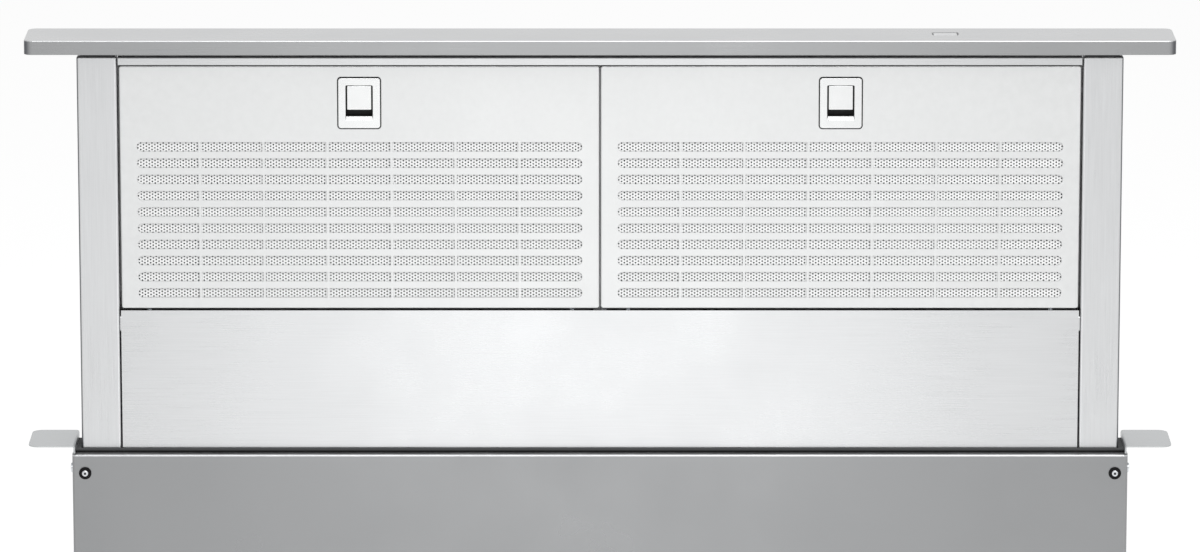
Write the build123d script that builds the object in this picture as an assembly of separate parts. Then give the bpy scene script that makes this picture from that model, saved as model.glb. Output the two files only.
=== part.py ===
from build123d import *
import math
import os

# A downdraft vent for a kitchen worktop, drawn raised. X runs along its width, the front faces -Y,
# and Z is up from the cabinet floor that it stands on. All sizes are in millimetres.

# ---------------------------------------------------------------- driving dimensions

# Heights and the raised stroke
WORKTOP = 790.0            # worktop surface above the cabinet floor
FOOT_HEIGHT = 83.1         # housing's floor above the cabinet floor
RAISED = 331.0             # cap top above the worktop with the vent raised
LIP_DROP = 6.9             # worktop surface down to the housing's folded lip
CAP_REST = 0.8             # gap left between cap and counter tabs when lowered

# Sheet thicknesses, bends and fits
SHEET = 1.2
PANEL_SHEET = 1.0
MESH_SHEET = 0.6
FOLD = 2.0                 # outer bend radius of the folded sheets
TIGHT_FOLD = 1.6           # outer bend radius of the narrow channels
CLEAR = 0.3                # plain clearance between parts that pass each other
RUNNING_FIT = 0.05         # radial clearance of a shaft in its bearing

# Cap
CAP_LENGTH = 914.4
CAP_OVERHANG = 33.7        # cap's end past the housing's end
CAP_LAP = 3.075            # cap's front past the housing's front
CAP_HEIGHT = 11.4
CAP_CORNER = 7.0
CAP_EDGE = 1.0
CAP_GAP = 4.1              # shadow gap between the cap's skirt and the riser
TRAY_SHEET = 1.5
TRAY_RISE = 0.5            # tray inside the cap above the skirt's edge
NECK_LENGTH = 22.0         # part of the tray's necks inside the columns

# Housing
HOUSING_DEPTH = 51.0
LIP_GAP = 1.3              # lip's edge to the riser's front
LIP_FOLD = 10.0            # depth of front sheet that the lip is folded from
BACK_RETURN = 16.5         # housing's edge turned in behind the back sheet
BEAD_WIDTH = 14.0
CORNER_SCREW_IN = 10.3     # corner screw to the housing's side
CORNER_SCREW_DOWN = 15.0   # corner screw to the housing's lip
CORNER_SCREW_RADIUS = 2.0
WASHER_RADIUS = 5.0

# Counter tabs and mouth seal
TAB_PROUD = 1.3            # tab's end past the cap's end
TAB_CORNER = 8.5
TAB_LEG = 22.0             # length of the tab's leg below the lip
TAB_SCREW_DOWN = 13.0      # tab screws below the lip
SEAL_TOP = 3.9             # seal top below the worktop surface
SEAL_THICK = 2.6
SEAL_CLEAR = 0.4           # seal to riser
SEAL_DEPTH = 4.0           # seal below the lip

# Riser
RISER_END_GAP = 7.0        # riser's side to the housing's outer side
RISER_SETBACK = 13.3       # riser front behind the housing front
RISER_BACK_CLEAR = 2.0
RISER_TAIL = 60.0          # part of the raised riser that stays in the housing
COLUMN_WIDTH = 32.0
COLUMN_RETURN = 8.0
CROWN_EDGE = 1.9           # rounding of the column's closed top
CROWN_DEPTH = 8.0          # drawn top of the column
RAIL_HEIGHT = 7.0
MULLION_WIDTH = 12.0
SEAT = 0.1                 # joint between sheets that meet inside the riser
SEAM = 1.0                 # open seam in front, between a column and the sheets beside it
SEAM_DEPTH = 4.0           # how far back that seam runs

# Filter panels
PANEL_HEIGHT = 197.5
PANEL_DEPTH = 11.3
PANEL_SIDE_GAP = 1.5
PANEL_TOP_GAP = 0.8
PANEL_SEAM = 0.9
PANEL_RECESS = 0.9
PANEL_CORNER = 2.0
PANEL_EDGE = 1.4
SILL_GAP = 1.4
SLOT_ROWS = 10
SLOTS_PER_ROW = 7
SLOT_HEIGHT = 7.6
SLOT_WEB = 2.0
SLOT_MARGIN = 13.7         # slot row's end to the panel's side
ROW_MARGIN = 9.0           # lowest slot row above the panel's bottom
ROW_HEADROOM = 11.43       # highest slot row below the latch
MESH_SETBACK = 0.1         # perforated sheet behind the face sheet
MESH_HEADROOM = 1.5        # perforated sheet below the latch
FILTER_INSET = 1.5         # filter frame in front of the panel's back edge
FILTER_GAP = 1.0           # filter frame to the panel's sides
FILTER_RIM = 6.0
FILTER_FRAME_SHEET = 0.8

# Panel hinge
ROD_RADIUS = 2.0
EYE_RADIUS = 4.0
HINGE_RISE = 4.5           # hinge axis above the panel's bottom
HINGE_BACK = 7.9           # hinge axis behind the panel's face
SHELF_CLEAR = 1.6          # hinge shelf below the panel's turning corner
BRACKET_THICK = 3.0
BRACKET_IN = 22.0          # hinge bracket from the panel's end
BRACKET_FOOT = 5.6

# Latch
BEZEL_WIDTH = 33.5
BEZEL_HEIGHT = 40.7
BEZEL_DROP = 9.7           # bezel top below the panel's top
BEZEL_PROUD = 1.0
BEZEL_CORNER = 2.4
BEZEL_RIM = 3.25           # bezel's flange round the hole in the panel
POCKET_SIDE = 5.85         # pocket's side to the bezel's side
POCKET_DROP = 5.9          # pocket top below the bezel's top
POCKET_RISE = 6.4          # pocket bottom above the bezel's bottom
POCKET_DEPTH = 8.6
POCKET_WALL = 1.4
SLIDER_SIDE = 1.2          # slider's side to the pocket's side
SLIDER_GAP = 0.6           # slider's top to the pocket's top
SLIDER_STOP = 0.9          # gap left under the slider when it is down
SLIDER_PLATE = 2.6
SLIDER_CORE = 12.0
LATCH_TRAVEL = 4.4
RAMP_HEIGHT = 3.2
BOLT_WIDTH = 10.0
BOLT_THICK = 2.4
BOLT_PROUD = 0.4           # bolt nose above the panel, kept short of the rail

# Lift
SCREW_RADIUS = 5.0
SCREW_IN = 16.5            # lead screw to the riser's side
JOURNAL_RADIUS = 4.0
SCREW_TOP_DROP = 25.0      # screw top below the lip
NUT_RADIUS = 8.0
NUT_FLANGE = 11.0
NUT_FLANGE_THICK = 4.0
NUT_LENGTH = 18.0
FOOT_PLATE = 3.0
BEARING_DROP = 12.0        # screw bearing below the lowered riser
BEARING_THICK = 6.0
BEARING_RADIUS = 10.0
BRACKET_SHEET = 2.0        # lift brackets, thicker than the other sheets
BRACKET_FOLD = 3.0
PULLEY_TEETH = 22
PULLEY_FLANGE = 1.5
BELT_WIDTH = 8.0
BELT_THICK = 1.6
PAD_LENGTH = 30.0
PAD_WIDTH = 16.8
PAD_GAP = 0.4
RAIL_WALL = 1.2
COUPLER_LENGTH = 20.0
COUPLER_RADIUS = 9.0
LIFT_MOTOR_GAP = 1.25      # lift motor to the nearest sheet of the housing
LIFT_MOTOR_LENGTH = 105.0
GEARBOX_LENGTH = 34.0

# Blower box
BLOWER_WIDTH = 420.0
FAN_OFFSET = 30.0          # fan axis to the left of the box's middle
FAN_RADIUS = 88.0
BLADE_DEPTH = 17.0
FAN_DEPTH = 96.0
FAN_BLADES = 32
FAN_FRONT_GAP = 22.0       # fan wheel behind the scroll's front sheet
FAN_BACK_GAP = 20.0        # fan wheel in front of the scroll's back sheet
THROAT_STEP = 2.0          # inlet ring's throat inside the blades
SCROLL_GAP = 9.0           # scroll to the fan wheel at its narrowest
SCROLL_STEP = 16.3333      # growth of the scroll in each quarter turn
SCROLL_FLOOR_GAP = 7.0
SCROLL_BACK_GAP = 1.5
BLOWER_HEADROOM = 59.0     # blower box above the fan wheel
COVER_SPACE = 24.5         # blower cover in front of the fan motor
COVER_EDGE = 14.0          # blower box's edge turned in behind its cover
COVER_RAISE = 4.0
SHAFT_RADIUS = 5.0
FAN_MOTOR_RADIUS = 50.0
FAN_MOTOR_LENGTH = 62.0
FAN_MOTOR_FLANGE = 4.0
DUCT_RADIUS = 75.0
DUCT_WALL = 1.0
DUCT_LENGTH = 75.0
DUCT_FLANGE = 8.0
DUCT_FLOOR_GAP = 5.0
DUCT_BACK_GAP = 2.5
FLAP_IN = 8.0              # flaps' rod past the blower box's side
FLAP_GAP = 2.0
FLAP_THICK = 1.0
FLAP_ROD = 2.0
FLAP_KNUCKLE = 3.6
KNUCKLE_HALF = 22.0        # half length of the rear flap's knuckle
KNUCKLE_END = 50.0         # outer end of the front flap's knuckles

# Control box, feet and screws
CONTROL_WIDTH = 150.0
CONTROL_HEIGHT = 120.0
CONTROL_DEPTH = 42.0
CONTROL_IN = 103.5         # control box's middle to the housing's end
CONTROL_GAP = 30.0         # control box above the blower box
CONTROL_LID = 12.0
GLAND_BORE = 6.5
GLAND_FORWARD = 17.0       # gland axis in front of the housing
GLAND_HEX = 13.5
GLAND_DOME = 10.5          # height of the gland's domed nut
FOOT_IN = 43.5             # housing's feet to its ends
BLOWER_FOOT_IN = 30.0      # blower box's feet to its sides and front
FOOT_PAD_RADIUS = 18.0
FOOT_PAD_HEIGHT = 8.0
FOOT_STUD_RADIUS = 5.0
SCREW_SHANK = 2.0
SCREW_HEAD = 4.0
HEAD_HEIGHT = 1.8
HOLE_CLEAR = 0.1           # screw shank to its hole

# Cap button
BUTTON_IN = 182.2          # button to the cap's end
BUTTON_BACK = 3.0          # button behind the cap's middle
BUTTON_LENGTH = 19.0
BUTTON_WIDTH = 10.5
BUTTON_TRAVEL = 1.5
BUTTON_SLEEVE = 0.7        # wall of the sleeve round the button

# ---------------------------------------------------------------- worked out from the above

CAP_TOP = WORKTOP + RAISED
CAP_BOTTOM = CAP_TOP - CAP_HEIGHT
CAP_DEPTH = HOUSING_DEPTH + 2 * CAP_LAP
TRAY_BOTTOM = CAP_BOTTOM + TRAY_RISE
BUTTON_X = CAP_LENGTH / 2 - BUTTON_IN
TRAVEL = RAISED - CAP_HEIGHT - SHEET - CAP_REST

LIP = WORKTOP - LIP_DROP
BASE = FOOT_HEIGHT
HOUSING_WIDTH = CAP_LENGTH - 2 * CAP_OVERHANG
HOUSING_HALF = HOUSING_WIDTH / 2
HOUSING_FRONT = -HOUSING_DEPTH / 2
HOUSING_BACK = HOUSING_DEPTH / 2
BACK_INNER = HOUSING_BACK - SHEET
END_INNER = HOUSING_HALF - SHEET
LIP_WIDTH = RISER_SETBACK - LIP_GAP
TAB_REACH = CAP_LENGTH / 2 + TAB_PROUD
TAB_LEG_HALF = HOUSING_DEPTH / 2 - SHEET - 2.3
TAB_SCREW_Y = (8.0 - TAB_LEG_HALF, TAB_LEG_HALF - 8.0)
TAB_SCREW_Z = LIP - TAB_SCREW_DOWN
CORNER_SCREW_X = HOUSING_HALF - CORNER_SCREW_IN
CORNER_SCREW_Z = LIP - CORNER_SCREW_DOWN
FOOT_X = HOUSING_HALF - FOOT_IN

RISER_FRONT = HOUSING_FRONT + RISER_SETBACK
RISER_BACK = BACK_INNER - RISER_BACK_CLEAR
RISER_HALF = HOUSING_HALF - RISER_END_GAP
RISER_TOP = CAP_BOTTOM - CAP_GAP
RISER_BOTTOM = LIP - RISER_TAIL
RISER_MIDDLE = (RISER_FRONT + RISER_BACK) / 2
COLUMN_INNER = RISER_HALF - COLUMN_WIDTH
NECK_X = (COLUMN_INNER + SHEET + 1.0, RISER_HALF - SHEET - FOLD)
NECK_Y = (RISER_FRONT + SHEET, RISER_BACK - SHEET - COLUMN_RETURN)
RAIL_BOTTOM = RISER_TOP - RAIL_HEIGHT

PANEL_TOP = RAIL_BOTTOM - PANEL_TOP_GAP
PANEL_BOTTOM = PANEL_TOP - PANEL_HEIGHT
PANEL_MIDDLE = (PANEL_TOP + PANEL_BOTTOM) / 2
PANEL_FRONT = RISER_FRONT + PANEL_RECESS
PANEL_BACK = PANEL_FRONT + PANEL_DEPTH
PANEL_WIDTH = COLUMN_INNER - PANEL_SIDE_GAP - PANEL_SEAM / 2
PANEL_X = (PANEL_SEAM + PANEL_WIDTH) / 2
SILL = PANEL_BOTTOM - SILL_GAP
HINGE_Y = PANEL_FRONT + HINGE_BACK
HINGE_Z = PANEL_BOTTOM + HINGE_RISE
BRACKET_X = PANEL_WIDTH / 2 - BRACKET_IN
SILL_SHELF = HINGE_Z - math.hypot(HINGE_BACK, HINGE_RISE) - SHELF_CLEAR
MULLION_FRONT = HINGE_Y + math.hypot(PANEL_BACK - HINGE_Y, HINGE_RISE) + CLEAR

BEZEL_TOP = PANEL_TOP - BEZEL_DROP
BEZEL_BOTTOM = BEZEL_TOP - BEZEL_HEIGHT
BEZEL_MIDDLE = (BEZEL_TOP + BEZEL_BOTTOM) / 2
BEZEL_FRONT = PANEL_FRONT - BEZEL_PROUD
POCKET_WIDTH = BEZEL_WIDTH - 2 * POCKET_SIDE
POCKET_TOP = BEZEL_TOP - POCKET_DROP
POCKET_BOTTOM = BEZEL_BOTTOM + POCKET_RISE
POCKET_FLOOR = BEZEL_FRONT + POCKET_DEPTH
RAMP_TOP = POCKET_BOTTOM + RAMP_HEIGHT
SLIDER_WIDTH = POCKET_WIDTH - 2 * SLIDER_SIDE
SLIDER_FRONT = BEZEL_FRONT + CLEAR
SLIDER_TOP = POCKET_TOP - SLIDER_GAP
SLIDER_BOTTOM = RAMP_TOP + SLIDER_STOP + LATCH_TRAVEL
BOLT_FRONT = SLIDER_FRONT + 2.0
BOLT_BACK = BOLT_FRONT + BOLT_THICK

SLOT_LENGTH = PANEL_WIDTH - 2 * SLOT_MARGIN
SLOT_PITCH = (SLOT_LENGTH + SLOT_WEB) / SLOTS_PER_ROW
FIRST_ROW = PANEL_BOTTOM + ROW_MARGIN + SLOT_HEIGHT / 2
LAST_ROW = BEZEL_BOTTOM - ROW_HEADROOM - SLOT_HEIGHT / 2
ROW_PITCH = (LAST_ROW - FIRST_ROW) / (SLOT_ROWS - 1)
MESH_FRONT = PANEL_FRONT + PANEL_SHEET + MESH_SETBACK
MESH_TOP = BEZEL_BOTTOM - MESH_HEADROOM
FILTER_HALF = PANEL_WIDTH / 2 - PANEL_SHEET - FILTER_GAP
FILTER_BOTTOM = HINGE_Z + EYE_RADIUS + FILTER_GAP + CLEAR
FILTER_FRONT = MESH_FRONT + MESH_SHEET
FILTER_BACK = PANEL_BACK - FILTER_INSET

SCREW_X = RISER_HALF - SCREW_IN
SCREW_TOP = LIP - SCREW_TOP_DROP
NUT_BOTTOM = RISER_BOTTOM + FOOT_PLATE
LOWEST_RISER = RISER_BOTTOM - TRAVEL
BEARING_TOP = LOWEST_RISER - BEARING_DROP
BELT_SPACE = BELT_WIDTH + 2 * CLEAR
PULLEY_TOP = BEARING_TOP - BEARING_THICK - 1.0
PULLEY_BOTTOM = PULLEY_TOP - BELT_SPACE - 2 * PULLEY_FLANGE
COUPLER_BOTTOM = PULLEY_BOTTOM - COUPLER_LENGTH
JOURNAL_BOTTOM = PULLEY_BOTTOM - 8.0
LIFT_MOTOR_TOP = COUPLER_BOTTOM - 3.0
LIFT_MOTOR_RADIUS = min(BACK_INNER - RISER_MIDDLE, END_INNER - SCREW_X) - LIFT_MOTOR_GAP
PULLEY_RADIUS = LIFT_MOTOR_RADIUS - 4.0

FAN_INNER = FAN_RADIUS - BLADE_DEPTH
FAN_THROAT = FAN_INNER - THROAT_STEP
SCROLL_START = FAN_RADIUS + SCROLL_GAP
SCROLL_END = SCROLL_START + 3 * SCROLL_STEP
SCROLL_DEPTH = FAN_FRONT_GAP + FAN_DEPTH + FAN_BACK_GAP
BLOWER_SIDE = BLOWER_WIDTH / 2
BLOWER_BACK = HOUSING_FRONT
SCROLL_BACK = BLOWER_BACK - SCROLL_BACK_GAP
SCROLL_FRONT = SCROLL_BACK - SCROLL_DEPTH
BLOWER_FRONT = SCROLL_FRONT - FAN_MOTOR_FLANGE - FAN_MOTOR_LENGTH - COVER_SPACE
BLOWER_HEIGHT = SCROLL_FLOOR_GAP + SCROLL_END + FAN_RADIUS + BLOWER_HEADROOM
BLOWER_TOP = BASE + BLOWER_HEIGHT
BLOWER_MIDDLE = (BASE + BLOWER_TOP) / 2
COVER_FRONT = BLOWER_FRONT - SHEET
FAN_X = -FAN_OFFSET
FAN_Z = BASE + SCROLL_FLOOR_GAP + SCROLL_END
FAN_BACK = SCROLL_BACK - FAN_BACK_GAP
FAN_FRONT = FAN_BACK - FAN_DEPTH
DUCT_Y = BLOWER_BACK - DUCT_BACK_GAP - DUCT_FLANGE - DUCT_RADIUS
DUCT_Z = BASE + DUCT_FLOOR_GAP + DUCT_FLANGE + DUCT_RADIUS
DUCT_BORE = DUCT_RADIUS - DUCT_WALL
FLAP_X = BLOWER_SIDE + FLAP_IN
CONTROL_X = CONTROL_IN - HOUSING_HALF
CONTROL_Z = BLOWER_TOP + CONTROL_GAP
CONTROL_FRONT = HOUSING_FRONT - CONTROL_DEPTH
GLAND_Y = HOUSING_FRONT - GLAND_FORWARD


# ---------------------------------------------------------------- helpers

def block(x0, x1, y0, y1, z0, z1):
    """A rectangular solid between two opposite corners."""
    return Pos((x0 + x1) / 2, (y0 + y1) / 2, (z0 + z1) / 2) * Box(abs(x1 - x0), abs(y1 - y0), abs(z1 - z0))


def along_x(outline, x0, x1):
    """Extrudes an outline drawn in Y and Z from x0 to x1."""
    return extrude(Plane.YZ.offset(x0) * outline, amount=x1 - x0)


def along_y(outline, y0, y1):
    """Extrudes an outline drawn in X and Z from y0 (front) to y1 (back)."""
    return extrude(Plane.XZ.offset(-y1) * outline, amount=y1 - y0)


def along_z(outline, z0, z1):
    """Extrudes an outline drawn in X and Y from z0 to z1."""
    return extrude(Pos(0, 0, z0) * outline, amount=z1 - z0)


def folded(points, thickness, bend):
    """Section of a folded sheet: its outer side follows the points, its thickness lies to their left."""
    path = FilletPolyline(*points, radius=bend)
    return make_face(Wire(path.edges()).offset_2d(thickness, side=Side.LEFT, closed=True).edges())


def rod_x(radius, x0, x1, y, z):
    return Pos((x0 + x1) / 2, y, z) * Rot(0, 90, 0) * Cylinder(radius, x1 - x0)


def rod_y(radius, y0, y1, x, z):
    return Pos(x, (y0 + y1) / 2, z) * Rot(90, 0, 0) * Cylinder(radius, y1 - y0)


def rod_z(radius, z0, z1, x, y):
    return Pos(x, y, (z0 + z1) / 2) * Cylinder(radius, z1 - z0)


def mirrored(shape):
    """The same piece for the other side of the vent."""
    return mirror(shape, about=Plane.YZ)


def group(shapes):
    """Separate solids that share one node."""
    return Compound(children=list(shapes))


# ---------------------------------------------------------------- cap

def cap_shell():
    """Pressed cover, open underneath, with rounded corners and a hole for the button."""
    outer = extrude(RectangleRounded(CAP_LENGTH, CAP_DEPTH, CAP_CORNER), amount=CAP_HEIGHT)
    outer = fillet(outer.faces().sort_by(Axis.Z)[-1].edges(), radius=CAP_EDGE)
    hollow_plan = RectangleRounded(CAP_LENGTH - 2 * SHEET, CAP_DEPTH - 2 * SHEET, CAP_CORNER - SHEET)
    shell = outer - extrude(hollow_plan, amount=CAP_HEIGHT - SHEET)
    grow = 2 * (CLEAR + BUTTON_SLEEVE + HOLE_CLEAR)
    hole = RectangleRounded(BUTTON_LENGTH + grow, BUTTON_WIDTH + grow, 1.6)
    shell -= Pos(BUTTON_X, BUTTON_BACK, 0) * extrude(hole, amount=CAP_HEIGHT)
    return Pos(0, 0, CAP_BOTTOM) * shell


def cap_frame():
    """Tray inside the cap with two hollow necks that reach down into the columns."""
    length = CAP_LENGTH - 2 * SHEET - 2 * CLEAR
    depth = CAP_DEPTH - 2 * SHEET - 2 * CLEAR
    radius = CAP_CORNER - SHEET - CLEAR
    height = CAP_TOP - SHEET - TRAY_BOTTOM
    tray = extrude(RectangleRounded(length, depth, radius), amount=height)
    inside = RectangleRounded(length - 2 * SHEET, depth - 2 * SHEET, radius - SHEET)
    tray -= Pos(0, 0, TRAY_SHEET) * extrude(inside, amount=height)
    frame = Pos(0, 0, TRAY_BOTTOM) * tray
    x0, x1 = NECK_X
    y0, y1 = NECK_Y
    for side in (-1, 1):
        neck = block(side * x0, side * x1, y0, y1, RISER_TOP - NECK_LENGTH, TRAY_BOTTOM)
        core = block(side * (x0 + SHEET), side * (x1 - SHEET), y0 + SHEET, y1 - SHEET, 0, TRAY_BOTTOM)
        frame += neck - core
    return frame


def switch_bezel():
    """Sleeve round the button, set just below the cap's surface."""
    top = CAP_TOP - 0.3
    bottom = TRAY_BOTTOM + TRAY_SHEET
    inner = RectangleRounded(BUTTON_LENGTH + 2 * CLEAR, BUTTON_WIDTH + 2 * CLEAR, 0.9)
    grow = 2 * (CLEAR + BUTTON_SLEEVE)
    outer = RectangleRounded(BUTTON_LENGTH + grow, BUTTON_WIDTH + grow, 1.5)
    return Pos(BUTTON_X, BUTTON_BACK, 0) * along_z(outer - inner, bottom, top)


def switch_button():
    """Key that stands almost flush with the cap and has room under it for its travel."""
    top = CAP_TOP - 0.1
    bottom = TRAY_BOTTOM + TRAY_SHEET + BUTTON_TRAVEL + CLEAR
    key = along_z(RectangleRounded(BUTTON_LENGTH, BUTTON_WIDTH, 0.8), bottom, top)
    key = fillet(key.faces().sort_by(Axis.Z)[-1].edges(), radius=0.5)
    return Pos(BUTTON_X, BUTTON_BACK, 0) * key


# ---------------------------------------------------------------- riser frame

def column():
    """Right column: a folded channel, open towards the panels, with a foot plate for the lift nut."""
    section = folded(
        [
            (COLUMN_INNER, RISER_FRONT + COLUMN_RETURN),
            (COLUMN_INNER, RISER_FRONT),
            (RISER_HALF, RISER_FRONT),
            (RISER_HALF, RISER_BACK),
            (COLUMN_INNER, RISER_BACK),
            (COLUMN_INNER, RISER_BACK - COLUMN_RETURN),
        ],
        SHEET,
        FOLD,
    )
    shell = along_z(section, RISER_BOTTOM, RISER_TOP - CROWN_DEPTH) + column_crown()
    foot = block(COLUMN_INNER + SHEET, RISER_HALF - SHEET, RISER_FRONT + SHEET, RISER_BACK - SHEET,
                 RISER_BOTTOM, RISER_BOTTOM + FOOT_PLATE)
    foot -= rod_z(NUT_RADIUS + HOLE_CLEAR, RISER_BOTTOM - 1, NUT_BOTTOM + 1, SCREW_X, RISER_MIDDLE)
    return shell + foot


def column_crown():
    """Drawn top of the right column: closed, rounded all round, with a hole for the neck of the cap's tray."""
    bottom = RISER_TOP - CROWN_DEPTH
    crown = block(COLUMN_INNER, RISER_HALF, RISER_FRONT, RISER_BACK, bottom, RISER_TOP)
    crown = fillet(crown.edges().filter_by(Axis.Z), radius=FOLD)
    crown = fillet(crown.faces().sort_by(Axis.Z)[-1].edges(), radius=CROWN_EDGE)
    roof = RISER_TOP - SHEET
    crown -= block(COLUMN_INNER + SHEET, RISER_HALF - SHEET, RISER_FRONT + SHEET, RISER_BACK - SHEET,
                   bottom - 1, roof)
    crown -= block(COLUMN_INNER - 1, COLUMN_INNER + SHEET + 1, RISER_FRONT + COLUMN_RETURN,
                   RISER_BACK - COLUMN_RETURN, bottom - 1, roof)
    return crown - block(*NECK_X, *NECK_Y, bottom - 1, RISER_TOP + 1)


def end_seams(z0, z1):
    """What is cut from both ends of a front sheet so that a dark seam shows beside each column."""
    inner = COLUMN_INNER - SEAM
    return [block(side * inner, side * COLUMN_INNER, RISER_FRONT - 1, RISER_FRONT + SEAM_DEPTH, z0 - 1, z1 + 1)
            for side in (-1, 1)]


def top_rail():
    """Channel between the columns, open underneath and at the front of its ends, that the panels close against."""
    section = folded(
        [
            (RISER_BACK - SHEET, RAIL_BOTTOM),
            (RISER_BACK - SHEET, RISER_TOP),
            (RISER_FRONT, RISER_TOP),
            (RISER_FRONT, RAIL_BOTTOM),
        ],
        SHEET,
        FOLD,
    )
    return along_x(section, SEAT - COLUMN_INNER, COLUMN_INNER - SEAT) - end_seams(RISER_BOTTOM, RISER_TOP)


def lower_front_panel():
    """Fixed sheet under the panels, with a shelf that carries the hinges and a folded foot."""
    half = COLUMN_INNER - SEAT
    skin = folded(
        [(RISER_FRONT, SILL), (RISER_FRONT, RISER_BOTTOM), (RISER_FRONT + 10.0, RISER_BOTTOM)], SHEET, FOLD
    )
    inner = RISER_FRONT + SHEET
    shelf_back = HINGE_Y + 7.5
    shelf = folded(
        [(inner, SILL_SHELF - 12.0), (inner, SILL_SHELF), (shelf_back, SILL_SHELF),
         (shelf_back, SILL_SHELF - 10.0)][::-1],
        SHEET,
        FOLD,
    )
    return along_x(skin, -half, half) - end_seams(RISER_BOTTOM, SILL) + along_x(shelf, -half, half)


def riser_back():
    """Back sheet between the columns, with its edges turned forward."""
    half = COLUMN_INNER - SEAT
    turn = RISER_BACK - COLUMN_RETURN - 2.0
    section = folded([(half, turn), (half, RISER_BACK), (-half, RISER_BACK), (-half, turn)], SHEET, FOLD)
    return along_z(section, RISER_BOTTOM, RISER_TOP - 8.0)


def centre_mullion():
    """Channel behind the seam between the panels, clear of their turning edges, from the shelf to the rail."""
    half = MULLION_WIDTH / 2
    back = RISER_BACK - SHEET
    front = MULLION_FRONT
    section = folded([(-half, back), (-half, front), (half, front), (half, back)], SHEET, TIGHT_FOLD)
    return along_z(section, SILL_SHELF, RAIL_BOTTOM)


def hinge_brackets():
    """Four plates on the shelf, each with an eye round a panel's hinge rod."""
    foot_front = HINGE_Y + 0.6
    foot_back = foot_front + BRACKET_FOOT
    eye = Pos(HINGE_Y, HINGE_Z) * Circle(EYE_RADIUS)
    stem = make_face(
        Polyline(
            (HINGE_Y - 3.4, HINGE_Z - 2.0),
            (foot_front, SILL_SHELF),
            (foot_back, SILL_SHELF),
            (HINGE_Y + 3.7, HINGE_Z - 1.5),
            close=True,
        )
    )
    plate = eye + stem - Pos(HINGE_Y, HINGE_Z) * Circle(ROD_RADIUS + RUNNING_FIT)
    half = BRACKET_THICK / 2
    places = [side * PANEL_X + end * BRACKET_X for side in (-1, 1) for end in (-1, 1)]
    return group(along_x(plate, x - half, x + half) for x in places)


def slide_pads():
    """Plastic shoes on the columns' sides that run in the guide rails."""
    x0 = RISER_HALF
    x1 = END_INNER - RAIL_WALL - PAD_GAP
    z0 = RISER_BOTTOM + 3.0
    pad = block(x0, x1, RISER_MIDDLE - PAD_WIDTH / 2, RISER_MIDDLE + PAD_WIDTH / 2, z0, z0 + PAD_LENGTH)
    pad = chamfer(pad.faces().sort_by(Axis.X)[-1].edges(), 0.8)
    return group([mirrored(pad), pad])


def lift_nuts():
    """Flanged nuts that stand in the columns' foot plates, running on the lead screws."""
    nut = rod_z(NUT_RADIUS, RISER_BOTTOM, NUT_BOTTOM + NUT_LENGTH, SCREW_X, RISER_MIDDLE)
    nut += rod_z(NUT_FLANGE, NUT_BOTTOM, NUT_BOTTOM + NUT_FLANGE_THICK, SCREW_X, RISER_MIDDLE)
    nut -= rod_z(SCREW_RADIUS + RUNNING_FIT, RISER_BOTTOM - 1, LIP, SCREW_X, RISER_MIDDLE)
    return group([mirrored(nut), nut])


# ---------------------------------------------------------------- filter panels (drawn about x = 0)

def slot_rows():
    """Rows of slots: each row is one long rounded slot crossed by thin webs."""
    webs = [Pos((n - SLOTS_PER_ROW / 2) * SLOT_PITCH, 0) * Rectangle(SLOT_WEB, SLOT_HEIGHT + 1)
            for n in range(1, SLOTS_PER_ROW)]
    row = SlotOverall(SLOT_LENGTH, SLOT_HEIGHT) - webs
    return [Pos(0, FIRST_ROW + n * ROW_PITCH) * row for n in range(SLOT_ROWS)]


def panel_face():
    """Slotted face sheet, folded back on all four sides, with a cut-out for the latch."""
    outline = Pos(0, PANEL_MIDDLE) * RectangleRounded(PANEL_WIDTH, PANEL_HEIGHT, PANEL_CORNER)
    pan = along_y(outline, PANEL_FRONT, PANEL_BACK)
    pan = fillet(pan.faces().sort_by(Axis.Y)[0].edges(), radius=PANEL_EDGE)
    inside = RectangleRounded(PANEL_WIDTH - 2 * PANEL_SHEET, PANEL_HEIGHT - 2 * PANEL_SHEET,
                              PANEL_CORNER - PANEL_SHEET)
    pan -= along_y(Pos(0, PANEL_MIDDLE) * inside, PANEL_FRONT + PANEL_SHEET, PANEL_BACK + 1)
    cuts = [along_y(row, PANEL_FRONT - 1, PANEL_FRONT + PANEL_SHEET + 0.5) for row in slot_rows()]
    rim = 2 * (BEZEL_RIM - HOLE_CLEAR)
    latch_hole = Pos(0, BEZEL_MIDDLE) * Rectangle(BEZEL_WIDTH - rim, BEZEL_HEIGHT - rim)
    cuts.append(along_y(latch_hole, PANEL_FRONT - 1, PANEL_FRONT + PANEL_SHEET + 0.5))
    cuts.append(block(-BOLT_WIDTH / 2 - CLEAR, BOLT_WIDTH / 2 + CLEAR, BOLT_FRONT - CLEAR,
                      BOLT_BACK + CLEAR, PANEL_TOP - 3, PANEL_TOP + 1))
    cuts.append(rod_x(ROD_RADIUS, -PANEL_WIDTH, PANEL_WIDTH, HINGE_Y, HINGE_Z))
    for end in (-1, 1):
        x = end * BRACKET_X
        half = BRACKET_THICK / 2 + 2.0
        cuts.append(block(x - half, x + half, PANEL_FRONT + PANEL_SHEET, PANEL_BACK + 1,
                          PANEL_BOTTOM - 1, PANEL_BOTTOM + PANEL_SHEET + 1.5))
    return pan - cuts


def filter_sheet():
    """Perforated sheet behind the slots, drawn without its holes."""
    half = PANEL_WIDTH / 2 - PANEL_SHEET
    return block(-half, half, MESH_FRONT, MESH_FRONT + MESH_SHEET, HINGE_Z + 1.5, MESH_TOP)


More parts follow.
